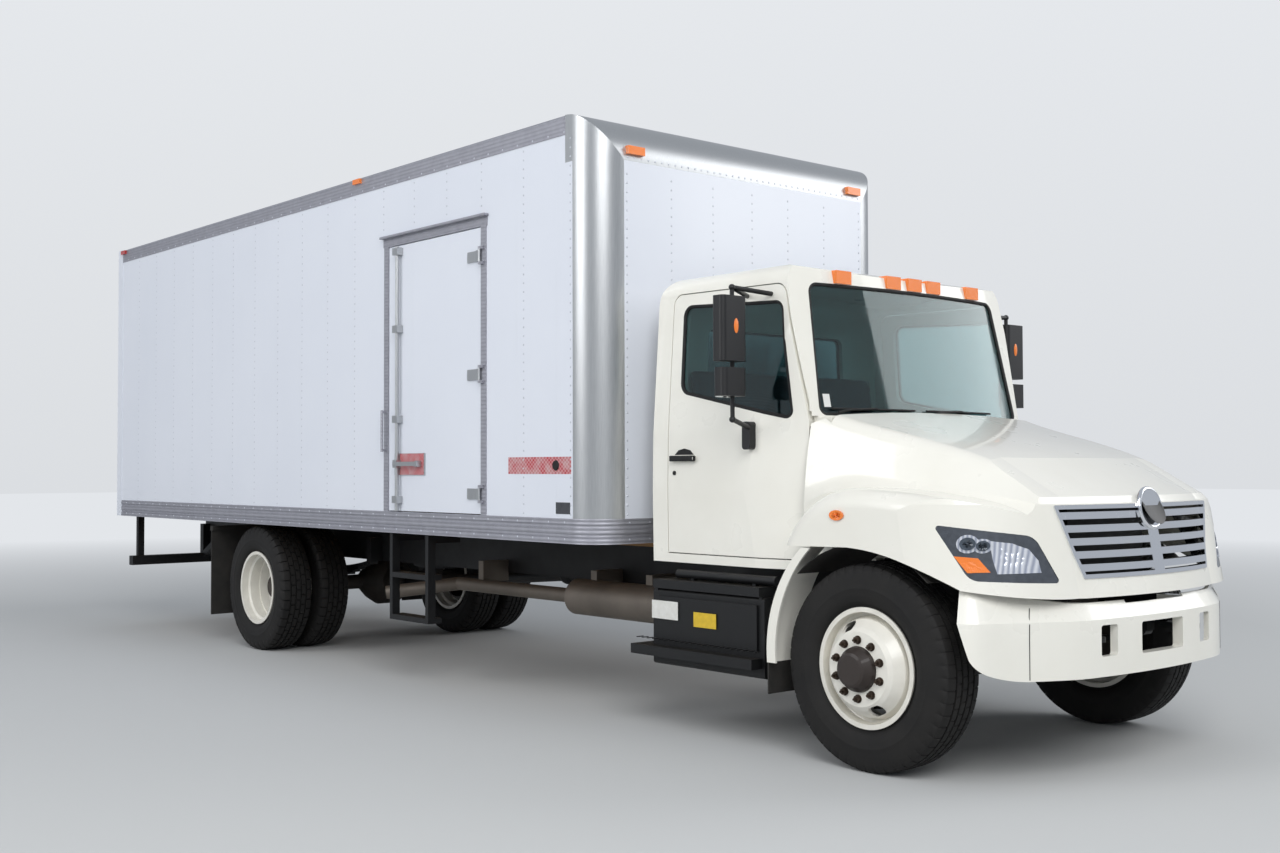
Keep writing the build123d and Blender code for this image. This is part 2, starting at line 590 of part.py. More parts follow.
def battery_box():
    """The black battery box under the right cab door, with its steps."""
    y = (aft(STEP_AFT[0]), aft(STEP_AFT[1]))
    body = block((STEP_INNER_X, STEP_OUTER_X - 60), y, (TANK_BOTTOM, TANK_TOP))
    body = fillet(body.edges().filter_by(Axis.Y), 18)
    body += block((STEP_OUTER_X - 70, STEP_OUTER_X - 46), (y[0] + 45, y[1] - 45), (TREAD_Z + 90, TANK_TOP - 40))
    body += step_treads()
    body += block((RAIL_OUTER_X, STEP_INNER_X + 10), (y[0] + 60, y[1] - 60), (RAIL_BOTTOM + 10, TANK_TOP - 15))
    tube_x = STEP_OUTER_X - 130
    tube_z = TANK_TOP + 87
    body += rod((tube_x, y[0] - 30, tube_z), (tube_x, y[1] - 140, tube_z), 26)
    for post_y in (y[0] + 120, y[1] - 280):
        body += block((tube_x - 15, tube_x + 15), (post_y, post_y + 24), (TANK_TOP + 45, tube_z))
    return mirrored(body)


def fuel_tank():
    """The fuel tank under the left cab door, with straps, filler and steps."""
    y = (aft(STEP_AFT[0]), aft(STEP_AFT[1]))
    body = block((STEP_INNER_X, STEP_OUTER_X - 60), y, (TANK_BOTTOM, TANK_TOP))
    body = fillet(body.edges().filter_by(Axis.Y), 90)
    for strap_y in (y[0] + 190, y[1] - 250):
        strap = block((STEP_INNER_X - 6, STEP_OUTER_X - 54), (strap_y, strap_y + 60), (TANK_BOTTOM - 6, TANK_TOP + 6))
        body += fillet(strap.edges().filter_by(Axis.Y), 94)
    body += rod((STEP_OUTER_X - 180, y[1] - 110, TANK_TOP - 45), (STEP_OUTER_X - 120, y[1] - 110, TANK_TOP + 55), 45)
    body += step_treads()
    body += block((RAIL_OUTER_X, STEP_INNER_X + 10), (y[0] + 120, y[1] - 120), (RAIL_BOTTOM - 130, RAIL_BOTTOM + 60))
    return body


def underride_guard():
    """The bar below the rear sill, on two uprights and two side braces."""
    y = BOX_REAR_Y - GUARD_SETBACK
    guard = block((-GUARD_HALF_WIDTH, GUARD_HALF_WIDTH), (y - GUARD_BAR, y), (GUARD_BAR_Z, GUARD_BAR_Z + GUARD_BAR))
    guard = fillet(guard.edges().filter_by(Axis.X), 10)
    for side in (-1, 1):
        post_x = sorted((side * RAIL_OUTER_X, side * (RAIL_OUTER_X + 70)))
        guard += block(post_x, (y - GUARD_BAR + 10, y - 10), (GUARD_BAR_Z + 40, RAIL_TOP - 40))
        brace = side_prism([(y - 420, RAIL_BOTTOM + 60), (y - 420, RAIL_BOTTOM + 120), (y - 40, GUARD_BAR_Z + 90),
                            (y - 40, GUARD_BAR_Z + 30)], post_x)
        guard += brace
        outer_x = sorted((side * (GUARD_HALF_WIDTH - 120), side * (GUARD_HALF_WIDTH - 60)))
        guard += block(outer_x, (y - GUARD_BAR + 20, y - 20), (GUARD_BAR_Z + 40, FLOOR_TOP - FLOOR_THICKNESS))
    return guard


def mudflaps():
    """Rubber flaps behind the rear twins, on their brackets, and behind the front wheels."""
    flap_y = REAR_AXLE_Y + 720
    outer = BOX_HALF - 8
    rear = block((REAR_INNER_TYRE_X - TYRE_WIDTH / 2 - 20, outer), (flap_y, flap_y + 10), (240, BOX_BOTTOM - 70))
    rear += block((RAIL_OUTER_X, outer), (flap_y - 20, flap_y + 30), (BOX_BOTTOM - 80, BOX_BOTTOM - 40))
    front = block((MUDGUARD_INNER_X, FENDER_HALF_WIDTH - 2), (aft(596), aft(604)), (320, MUDGUARD_BOTTOM - SEAT_GAP))
    pieces = [rear.solid(), mirrored(rear).solid(), front.solid(), mirrored(front).solid()]
    return Compound(children=pieces)


def side_ladder():
    """The two-rung ladder under the side door."""
    y = (SIDE_DOOR_END - 490, SIDE_DOOR_END + 10)
    outer = BOX_HALF - 20
    ladder = block((-outer, -outer + 60), (y[0], y[0] + 36), (432, BOX_BOTTOM))
    ladder += block((-outer, -outer + 60), (y[1] - 36, y[1]), (432, BOX_BOTTOM))
    for z in (432, 728):
        ladder += block((-outer, -outer + 110), y, (z, z + 36))
    for edge in (y[0], y[1] - 36):
        ladder += block((-outer, -outer + 260), (edge, edge + 36), (BOX_BOTTOM - 60, BOX_BOTTOM))
    return ladder


# Cab

def cab_side_outline():
    """The cab seen from the side: firewall, cowl, roof and back."""
    back = aft(CAB_BACK_AFT)
    front = aft(FIREWALL_AFT)
    lower = Polyline((back, 2440), (back, CAB_FLOOR_Z), (front, CAB_FLOOR_Z), (front, 2548), (aft(560), 2548))
    brow = ThreePointArc((aft(560), 2548), (aft(720), 2594), (aft(980), CAB_ROOF_Z))
    top = Line((aft(980), CAB_ROOF_Z), (back - 220, CAB_ROOF_Z - 6))
    heel = ThreePointArc((back - 220, CAB_ROOF_Z - 6), (back - 50, 2560), (back, 2440))
    return make_face(lower + brow + top + heel)


def cab_front_outline():
    """The cab seen from the front: straight lower sides, tumblehome and a low crowned roof."""
    half = CAB_HALF_WIDTH
    sides = [(half - 60, 2480), (half - 6, 1700), (half, 1364), (half - 6, CAB_FLOOR_Z)]
    right = Polyline(*sides)
    floor = Line((half - 6, CAB_FLOOR_Z), (6 - half, CAB_FLOOR_Z))
    left = Polyline(*[(-x, z) for x, z in sides])
    crown = ThreePointArc((-(half - 180), 2600), (0, CAB_ROOF_Z + 2), (half - 180, 2600))
    right_edge = ThreePointArc((half - 180, 2600), (half - 92, 2566), (half - 60, 2480))
    left_edge = ThreePointArc((-(half - 180), 2600), (-(half - 92), 2566), (-(half - 60), 2480))
    return make_face(right + floor + left + crown + right_edge + left_edge)


def cab_sides(inset):
    """The space between the cab's sides, which curve in toward the front pillars."""
    outline = cab_front_outline()
    front = offset(outline, amount=-inset, kind=Kind.INTERSECTION) if inset else outline
    half = CAB_HALF_WIDTH + 1 - inset
    curve = ThreePointArc((half, aft(1000)), (half - 19, aft(775)), (half - 93, aft(500)))
    curve += Polyline((half, aft(1000)), (half, aft(CAB_BACK_AFT + 100)), (0, aft(CAB_BACK_AFT + 100)))
    curve += Polyline((half - 93, aft(500)), (half - 133, aft(380)), (0, aft(380)))
    plan = make_face(curve + mirror(curve, Plane.YZ))
    return extrude(Plane.XZ * front, amount=FAR * 2, both=True) & extrude(plan, amount=FAR, both=True)


def cab_block(inset):
    """The cab's whole form, drawn in by inset from its outer skin on every side."""
    side = offset(cab_side_outline(), amount=-inset, kind=Kind.INTERSECTION) if inset else cab_side_outline()
    body = extrude(Plane.YZ * side, amount=FAR / 2, both=True) & cab_sides(inset)
    lean = radians(WINDSHIELD_RAKE)
    base = Vector(0, aft(WINDSHIELD_BASE_AFT) + WINDSHIELD_RADIUS / cos(lean), COWL_Z)
    bow = Plane(origin=base, z_dir=(0, sin(lean), cos(lean)))
    barrel = extrude(bow * Circle(WINDSHIELD_RADIUS - inset), amount=FAR / 3, both=True)
    lower = block((-FAR, FAR), (-2 * FAR, 2 * FAR), (0, COWL_Z - inset))
    return body & (barrel + lower)


# Columns: aft, height, corner radius
DOOR_OUTLINE = [(530, 1000, 0), (530, 1742, 0), (682, 2490, 80), (1572, 2500, 70), (1572, 1000, 0)]
DOOR_WINDOW = [(628, 1752, 35), (1473, 1926, 70), (1477, 2424, 60), (700, 2388, 60)]
# Columns: distance to the side, height, corner radius
WINDSHIELD_OUTLINE = [(-876, 1772, 40), (876, 1772, 40), (816, 2490, 60), (-816, 2490, 60)]
REAR_WINDOW = [(-620, 1900, 50), (620, 1900, 50), (600, 2330, 50), (-600, 2330, 50)]


def outline_face(points, amount):
    """The face inside an outline, with its corners rounded, grown or shrunk by an amount."""
    face = make_face(Polyline(*[(u, v) for u, v, radius in points], close=True))
    for u, v, radius in points:
        if radius:
            face = fillet(face.vertices().sort_by_distance((u, v, 0))[0], radius)
    return offset(face, amount=amount, kind=Kind.INTERSECTION) if amount else face


def door_prism(points, amount, side):
    """A prism through one side of the cab from an outline of aft and height."""
    face = outline_face([(aft(y), z, radius) for y, z, radius in points], amount)
    prism = extrude(Plane.YZ * face, amount=FAR / 2)
    return prism if side > 0 else mirrored(prism)


def window_prism(points, amount, y):
    """A prism along the truck through the windshield or the rear window."""
    face = outline_face(points, amount)
    return Pos(0, y[1], 0) * extrude(Plane.XZ * face, amount=y[1] - y[0])


CAB_OUTER = cab_block(0)
CAB_SKIN = CAB_OUTER - cab_block(CAB_WALL)
CAB_CORE = cab_sides(CAB_WALL)
GLASS_SKIN = cab_block(GLASS_DEPTH) - cab_block(GLASS_DEPTH + GLASS)
FRONT_WINDOW_Y = (aft(200), aft(900))
REAR_WINDOW_Y = (aft(CAB_BACK_AFT - 120), aft(CAB_BACK_AFT + 10))


def door_sweep():
    """The left door's front edge above its hinges, at several angles as it opens, for cutting the pillar behind it."""
    edge = (CAB_OUTER - CAB_CORE) & door_prism(DOOR_OUTLINE, 3 - PANEL_GAP, 1)
    edge &= block((0, FAR), (aft(HOOD_SIDE_REAR), aft(760)), (DOOR_RELIEF_TOP - 100, FAR))
    axis = Axis((DOOR_HINGE_X, aft(DOOR_HINGE_AFT), 0), (0, 0, -1))
    return [edge.rotate(axis, angle) for angle in DOOR_SWEEP]


def cab_shell():
    """Floor, firewall, pillars, back and roof, with the door and window openings cut."""
    sill = block((-FAR, FAR), (aft(0), aft(CAB_BACK_AFT + 1)), (CAB_FLOOR_Z - 1, CAB_UNDERSIDE))
    shell = CAB_SKIN - (sill & Pos(0, 0, -CAB_WALL * 3) * cab_sides(CAB_WALL + 24))
    for side in (-1, 1):
        shell -= door_prism(DOOR_OUTLINE, 0, side) - CAB_CORE
        x = sorted((side * HOOD_STEP_X - side * 10, side * FAR))
        shell -= block(x, (aft(0), aft(HOOD_SIDE_REAR + 7)), (0, COWL_Z + 8))
    floor = block((-FAR, FAR), (aft(FIREWALL_AFT), aft(CAB_BACK_AFT)), (CAB_UNDERSIDE, SEAT_Z))
    shell += floor & Pos(0, 0, -CAB_WALL * 3) * cab_sides(CAB_WALL + DOOR_FLOOR_GAP)
    shell -= window_prism(WINDSHIELD_OUTLINE, 0, FRONT_WINDOW_Y)
    shell -= window_prism(REAR_WINDOW, 0, REAR_WINDOW_Y)
    for y in (aft(560), aft(1560)):
        for side in (-1, 1):
            x = sorted((side * (RAIL_OUTER_X - 75), side * RAIL_OUTER_X))
            shell += block(x, (y - 50, y + 50), (RAIL_TOP, CAB_UNDERSIDE + 10))
    axis = (DOOR_HINGE_X, aft(DOOR_HINGE_AFT))
    relief_height = DOOR_RELIEF_TOP - CAB_UNDERSIDE
    relief = Pos(*axis, CAB_UNDERSIDE + relief_height / 2) * Cylinder(DOOR_HINGE_RELIEF, relief_height)
    shell -= both_sides(relief)
    for passed in door_sweep():
        shell -= both_sides(passed)
    for z in DOOR_HINGE_HEIGHTS:
        arm = block((axis[0] - 60, axis[0]), (axis[1] - 7, axis[1] + 7), (z - 24.5, z + 24.5))
        arm += block((axis[0] - 60, axis[0] - 40), (aft(FIREWALL_AFT + 20), axis[1] + 7), (z - 24.5, z + 24.5))
        arm += Pos(*axis, z) * Cylinder(9, 49)
        shell += both_sides(arm + Pos(*axis, z) * Cylinder(DOOR_PIN_RADIUS, 90))
    return shell


def cab_glass():
    """Curved windshield and flat rear window."""
    windshield = GLASS_SKIN & window_prism(WINDSHIELD_OUTLINE, -SEAT_GAP, FRONT_WINDOW_Y)
    rear = GLASS_SKIN & window_prism(REAR_WINDOW, -SEAT_GAP, REAR_WINDOW_Y)
    return Compound(children=[windshield.solid(), rear.solid()])


def cab_door(side):
    """One door as thick as the cab's wall, with its window cut, hidden hinge notches and an outside handle."""
    door = (CAB_OUTER - CAB_CORE) & door_prism(DOOR_OUTLINE, -PANEL_GAP, side)
    door -= door_prism(DOOR_WINDOW, 0, side)
    hinge_y = aft(DOOR_HINGE_AFT)
    for z in DOOR_HINGE_HEIGHTS:
        notch = block((DOOR_HINGE_X - 60, DOOR_HINGE_X + 10.5), (hinge_y - 40, hinge_y + 14), (z - 25, z + 25))
        notch += Pos(DOOR_HINGE_X, hinge_y, z) * Cylinder(DOOR_PIN_RADIUS + RUNNING_FIT, 92)
        door -= notch if side > 0 else mirrored(notch)
    handle = block((CAB_HALF_WIDTH - 12, CAB_HALF_WIDTH + 26), (aft(1330), aft(1530)), (1530, 1560))
    handle = fillet(handle.edges().filter_by(Axis.Y), 10)
    return door + (handle if side > 0 else mirrored(handle))


def door_glass(side):
    """The side window, seated in its door's frame."""
    pane = GLASS_SKIN & door_prism(DOOR_WINDOW, -SEAT_GAP, side)
    return pane


def mirror_set(side):
    """A tall mirror head over a smaller one, on a bent arm that the door carries."""
    y = aft(MIRROR_AFT)
    post_x = MIRROR_X - 30
    post_y = y + 10
    stays = rod((post_x, post_y, 2450), (CAB_HALF_WIDTH - 90, aft(987), 2436), 13)
    stays += rod((post_x, post_y, 2450), (CAB_HALF_WIDTH - 90, aft(782), 2432), 13)
    stays += rod((post_x, post_y, 1748), (CAB_HALF_WIDTH - 12, aft(890), 1700), 13)
    foot = block((CAB_HALF_WIDTH - 20, CAB_HALF_WIDTH + 40), (aft(860), aft(920)), (1590, 1742))
    stays += fillet(foot.edges().filter_by(Axis.X), 20)
    stays -= CAB_OUTER
    stays += rod((post_x, post_y, 1740), (post_x, post_y, 2462), 12)
    for z in (1748, 2450):
        stays += Pos(post_x, post_y, z) * Sphere(18)
    # Columns: half width, front and back of the head from the post line, its bottom and top, corner radius
    for half, front, back, low, high, radius in [(92, 45, 45, 2055, 2400, 28), (88, 50, 40, 1870, 2020, 30)]:
        head = block((MIRROR_X - half, MIRROR_X + half), (y - front, y + back), (low, high))
        stays += fillet(head.edges().filter_by(Axis.Z), radius)
    return stays if side > 0 else mirrored(stays)


def dashboard():
    """The full-width dashboard inside the cab, below the windshield."""
    front = aft(DASH_AFT[0])
    rear = aft(DASH_AFT[1])
    shape = side_prism([(front, 1560), (front, 1700), (rear - 130, 1700), (rear, 1630), (rear, 1560),
                        (rear - 60, 1330), (rear - 90, 1250), (front + 130, 1250)], (-DASH_HALF, DASH_HALF))
    return (shape & cab_sides(CAB_WALL + 20)) + block((-200, 200), (front + 130, rear - 120), (SEAT_Z, 1260))


def steering_wheel():
    """Steering wheel and column in front of the driver's seat."""
    centre = Vector(DRIVER_X, aft(1010), 1640)
    lean = 32
    place = Pos(*centre) * Rot(-lean, 0, 0)
    wheel = place * Torus(215, 14)
    hub = place * Cylinder(60, 34)
    spoke = place * Box(420, 26, 12)
    column_end = centre + Vector(0, -sin(radians(lean)) * 260, -cos(radians(lean)) * 260)
    return wheel + hub + spoke + rod(tuple(centre), tuple(column_end), 32) - dashboard()


def seats():
    """Driver's seat and a wider passenger seat: a cushion and a back each."""
    pieces = []
    rows = [(DRIVER_X, 270), (-DRIVER_X + 60, 400)]
    for centre_x, half in rows:
        x = (centre_x - half, centre_x + half)
        cushion = side_prism([(aft(1040), SEAT_Z + SEAT_GAP), (aft(1030), SEAT_Z + 430), (aft(1480), SEAT_Z + 390),
                              (aft(1480), SEAT_Z + SEAT_GAP)], x)
        back = side_prism([(aft(1440), SEAT_Z + 394), (aft(1520), SEAT_Z + 1010), (aft(1620), SEAT_Z + 1010),
                           (aft(1600), SEAT_Z + 384), (aft(1481), SEAT_Z + 390.3)], x)
        pieces.append(cushion.solid())
        pieces.append(back.solid())
    return Compound(children=pieces)


# Hood with fenders, grille and headlamps

# Columns: aft, crown height, shoulder x and z, crease x and z, cove x and z, foot x and z
HOOD_SECTIONS = [
    (HOOD_SIDE_REAR + 5, 1832, 928, 1808, 979, 1530, 992, 1410, 1002, 1290),
    (50, 1697, 835, 1669, 912, 1455, 945, 1398, 1025, 1366),
    (-350, 1590, 762, 1561, 878, 1390, 912, 1348, 990, 1326),
    (-650, 1488, 702, 1444, 832, 1345, 864, 1306, 935, 1286),
    (-960, 1330, 650, 1262, 724, 1232, 758, 1180, 830, 1110),
]


def hood_centre(inset):
    """The hood between the fenders, lofted through its sections, with a crease and a cove along each side."""
    faces = []
    for spot, crown, shoulder_x, shoulder_z, crease_x, crease_z, cove_x, cove_z, foot_x, foot_z in HOOD_SECTIONS:
        right = Line((shoulder_x, shoulder_z), (crease_x, crease_z))
        right += ThreePointArc((crease_x, crease_z), (cove_x, cove_z), (foot_x, foot_z))
        right += Polyline((foot_x, foot_z), (foot_x, 840), (0, 840))
        top = ThreePointArc((-shoulder_x, shoulder_z), (0, crown), (shoulder_x, shoulder_z))
        face = make_face(right + mirror(right, Plane.YZ) + top)
        shoulders = face.vertices().filter_by(lambda v: abs(v.Z - 0) < 1 and abs(v.Y - shoulder_z) < 1)
        face = fillet(shoulders, SHOULDER_RADIUS)
        if inset:
            face = offset(face, amount=-inset, kind=Kind.INTERSECTION)
        faces.append(Plane.XZ.offset(-aft(spot)) * face)
    return loft(faces)


def fenders(inset):
    """Both fender crowns, from the rear joint over the wheel to the nose, with a large radius along each outer edge."""
    crest = (aft(60), 1391)
    rear = (aft(HOOD_SIDE_REAR + 3), HOOD_JOINT_Z)
    nose = (aft(-960), 1130)
    tail = TangentArc(crest, rear, tangent=(1, 0))
    crown = TangentArc(crest, (aft(-568), 1330), tangent=(-1, 0))
    brow = TangentArc((aft(-568), 1330), nose, tangent=crown % 1)
    face = make_face(tail + crown + brow + Polyline(rear, (rear[0], 840), (nose[0], 840), nose))
    if inset:
        face = offset(face, amount=-inset, kind=Kind.INTERSECTION)
    half = FENDER_HALF_WIDTH - inset
    slab = extrude(Plane.YZ * face, amount=half, both=True)
    rims = slab.edges().filter_by(GeomType.CIRCLE).filter_by(lambda edge: abs(edge.center().X) > half - 1)
    return fillet(rims, FENDER_ROUND - inset)


def nose_outline(inset, back):
    """The hood's outline from above, with its back edges given as a line."""
    side = FENDER_HALF_WIDTH - inset
    bend = (1032 - 0.7 * inset, aft(-690) + 0.7 * inset)
    turn = (620 - 0.2 * inset, aft(-870) + inset)
    tip = (0, aft(-FRONT_OVERHANG + 2) + inset)
    corner = ThreePointArc((side, aft(-260)), bend, turn)
    centre = ThreePointArc(turn, tip, (-turn[0], turn[1]))
    corner_left = ThreePointArc((-turn[0], turn[1]), (-bend[0], bend[1]), (-side, aft(-260)))
    return make_face(corner + centre + corner_left + Polyline((-side, aft(-260)), *back, (side, aft(-260))))


def nose_plan(inset):
    """The space inside the hood's outline, leaning back in steps as it rises."""
    side = FENDER_HALF_WIDTH - inset
    base = HOOD_LIP_Z - 80
    steps = [(side, aft(HOOD_SIDE_REAR)), (HOOD_STEP_X, aft(HOOD_SIDE_REAR)), (HOOD_STEP_X, aft(HOOD_REAR_AFT))]
    back = [(-x, y) for x, y in steps] + steps[::-1]
    form = extrude(Pos(0, 0, base) * nose_outline(inset, back), amount=1100, dir=(0, 0, 1))
    wide = side + 60
    long_face = nose_outline(inset, [(-wide, aft(100)), (-wide, FAR), (wide, FAR), (wide, aft(100))])
    shift = 0
    slope = 0
    last = HOOD_LIP_Z
    for lean, start in NOSE_LEANS:
        shift += slope * (start - last)
        slope = tan(radians(lean))
        last = start
        thicker = inset * (1 / cos(radians(lean)) - 1)
        low = Pos(0, shift - slope * (start - base) + thicker, base) * long_face
        form &= extrude(low, amount=1100 / cos(radians(lean)), dir=(0, sin(radians(lean)), cos(radians(lean))))
    return form


def hood_block(inset):
    """The hood and fenders as one form, drawn in by inset."""
    return (hood_centre(inset) + fenders(inset)) & nose_plan(inset)


HOOD_EARS = [(HOOD_REAR_AFT + 1, 1766), (540, 1714), (540, 1900), (HOOD_REAR_AFT + 1, 1900)]
HOOD_UNDERSIDE = [(-1000, HOOD_LIP_Z), (-880, HOOD_LIP_Z), (-545, 925), (-545, 800), (-1000, 800)]
# Columns: distance to the side, height, corner radius
GRILLE_OUTLINE = [(-575, GRILLE_BOTTOM, 14), (575, GRILLE_BOTTOM, 14), (706, GRILLE_TOP, 10), (-706, GRILLE_TOP, 10)]
# The headlamp's corners. Columns: distance along the nose's corner, height, corner radius
LAMP_OUTLINE = [(-508, 1224, 14), (-45, 1172, 90), (80, 953, 14), (-350, 968, 80)]


def lamp_prism(amount, side):
    """A prism through one front corner along its diagonal, with the headlamp's outline."""
    face = outline_face(LAMP_OUTLINE, amount)
    corner = Plane(origin=(0, FRONT_AXLE_Y, 0), x_dir=(1, -1, 0), z_dir=(-1, -1, 0))
    prism = Pos(-300, -300, 0) * extrude(corner * face, amount=2000)
    return prism if side < 0 else mirrored(prism)


HOOD_OUTER = hood_block(0)


def hood():
    """The one-piece tilting hood: open below and behind, with arches, grille, lamp openings and hinge tabs."""
    shell = HOOD_OUTER - hood_block(HOOD_WALL)
    arch = ThreePointArc((aft(-560), 925), (aft(-300), 1036), (aft(60), 1100))
    arch += Polyline((aft(60), 1100), (aft(530), HOOD_JOINT_Z), (aft(530), 820), (aft(-600), 820), (aft(-560), 925))
    shell -= extrude(Plane.YZ * make_face(arch), amount=FAR, both=True)
    shell -= side_prism([(aft(y), z) for y, z in HOOD_UNDERSIDE], (-FAR, FAR))
    shell -= side_prism([(aft(y), z) for y, z in HOOD_EARS], (-FAR, FAR))
    shell -= Pos(0, aft(-560), 0) * extrude(Plane.XZ * outline_face(GRILLE_OUTLINE, 0), amount=540)
    for side in (-1, 1):
        shell -= lamp_prism(0, side)
    pivot = (aft(HOOD_PIVOT_AFT), HOOD_PIVOT_Z)
    tab = block((HOOD_TAB_X, HOOD_TAB_X + HOOD_TAB_WIDTH), (pivot[0] - 60, pivot[0]), (pivot[1] - 17, pivot[1] + 17))
    tab &= HOOD_OUTER
    tab += rod((HOOD_TAB_X, *pivot), (HOOD_TAB_X + HOOD_TAB_WIDTH, *pivot), 17)
    tab -= rod((HOOD_TAB_X - 1, *pivot), (HOOD_TAB_X + HOOD_TAB_WIDTH + 1, *pivot), HOOD_PIN_RADIUS + RUNNING_FIT)
    return shell + tab + mirrored(tab)


def grille():
    """Five wide bars in a frame, with a centre post and a plain round boss."""
    plate = nose_plan(-6) - nose_plan(26)
    face = outline_face(GRILLE_OUTLINE, -SEAT_GAP)
    plate &= Pos(0, aft(-560), 0) * extrude(Plane.XZ * face, amount=540)
    opening = outline_face(GRILLE_OUTLINE, -20)
    slots = Pos(0, aft(-560), 0) * extrude(Plane.XZ * opening, amount=540)
    pitch = (GRILLE_TOP - GRILLE_BOTTOM - 40) / BAR_COUNT
    for number in range(BAR_COUNT):
        centre = GRILLE_BOTTOM + 20 + pitch * (number + 0.5)
        slots -= block((-FAR, FAR), (aft(-1200), aft(-500)), (centre - BAR_HEIGHT / 2, centre + BAR_HEIGHT / 2))
    slots -= block((-48, 48), (aft(-1200), aft(-500)), (900, 1400))
    part = plate - slots
    ring_y = aft(-FRONT_OVERHANG + 2) + tan(radians(FRONT_RAKE)) * (RING_Z - HOOD_LIP_Z)
    place = Pos(0, ring_y - 8, RING_Z) * Rot(90 - FRONT_RAKE, 0, 0)
    boss = place * Torus(RING_RADIUS, 13)
    boss += place * Cylinder(RING_RADIUS, 24)
    return part + (boss - HOOD_OUTER)


def headlamps():
    """Both wrap-round headlamps, set in the nose's corners."""
    skin = hood_block(3) - hood_block(70)
    lamps = []
    for side in (-1, 1):
        lamp = skin & lamp_prism(-SEAT_GAP, side)
        lamps.append(lamp.solids().sort_by(SortBy.VOLUME)[-1])
    return Compound(children=lamps)


# Bumper and front mudguards

def bumper_plan(inset):
    """The bumper's outline from above: a shallow centre arc, slanting sides and rounded ends."""
    turn = (560, aft(-905))
    knee = (750, aft(-844.5))
    bend = (1070, aft(-680))
    end = (BUMPER_HALF_WIDTH, aft(-520))
    right = ThreePointArc(turn, (658, aft(-882)), knee) + Line(knee, bend)
    right += TangentArc(bend, end, tangent=(bend[0] - knee[0], bend[1] - knee[1]))
    right += Polyline(end, (end[0], aft(-400)), (0, aft(-400)))
    centre = ThreePointArc((-turn[0], turn[1]), (0, aft(-FRONT_OVERHANG)), turn)
    face = make_face(right + mirror(right, Plane.YZ) + centre)
    return offset(face, amount=-inset, kind=Kind.INTERSECTION) if inset else face


def bumper_form(inset):
    """The space inside the bumper's skin: upright to the fold and leaning back above it."""
    face = bumper_plan(inset)
    lower = extrude(Pos(0, 0, BUMPER_BOTTOM) * face, amount=BUMPER_FOLD - BUMPER_BOTTOM)
    return lower + extrude(Pos(0, 0, BUMPER_FOLD) * face, amount=BUMPER_END_TOP - BUMPER_FOLD, taper=BUMPER_LEAN)


def front_bumper():
    """Wrap-round bumper with a folded face, two tow openings and a centre opening, each with a turned-in rim."""
    outer = bumper_form(0)
    inner = bumper_form(BUMPER_WALL) - block((-FAR, FAR), (-FAR, FAR), (0, BUMPER_BOTTOM + BUMPER_WALL))
    shape = outer - inner
    shape -= extrude(Pos(0, 0, BUMPER_BOTTOM - 1) * bumper_plan(BUMPER_FLANGE), amount=BUMPER_WALL + 2)
    shape -= side_prism([(aft(-1000), BUMPER_TOP), (aft(-850), BUMPER_TOP), (aft(-560), BUMPER_END_TOP),
                         (aft(-560), BUMPER_END_TOP + 50), (aft(-1000), BUMPER_END_TOP + 50)], (-FAR, FAR))
    corner = ThreePointArc((aft(-800), BUMPER_BOTTOM), (aft(-690), 532), (aft(-622), 610))
    corner += Polyline((aft(-622), 610), (aft(-535), 930), (aft(-300), 930), (aft(-300), 400), (aft(-800), 400),
                       (aft(-800), BUMPER_BOTTOM))
    shape -= extrude(Plane.YZ * make_face(corner), amount=FAR, both=True)
    lip_pass_z = (BUMPER_TOP - BUMPER_WALL - 1, BUMPER_TOP + 1)
    shape -= block((-LIP_PASS_HALF, LIP_PASS_HALF), (aft(LIP_PASS_AFT), aft(-860)), lip_pass_z)
    # Columns: near and far edge in x, bottom and top of each opening
    openings = [(-193, 193, 593, 745), (-TOW_HOLE_X - 60, -TOW_HOLE_X + 60, 600, 747),
                (TOW_HOLE_X - 60, TOW_HOLE_X + 60, 600, 747)]
    for low_x, high_x, low_z, high_z in openings:
        rim = block((low_x - 9, high_x + 9), (aft(-1000), aft(-885)), (low_z - 9, high_z + 9))
        shape += fillet(rim.edges().filter_by(Axis.Y), 20) & outer
        cutter = block((low_x, high_x), (aft(-1000), aft(-860)), (low_z, high_z))
        shape -= fillet(cutter.edges().filter_by(Axis.Y), 14)
    for side in (-1, 1):
        x = sorted((side * (RAIL_OUTER_X - 60), side * RAIL_OUTER_X))
        shape += block(x, (aft(-FRONT_OVERHANG), RAIL_FRONT_Y), (RAIL_BOTTOM + 60, BUMPER_TOP - 22)) & outer
    return shape


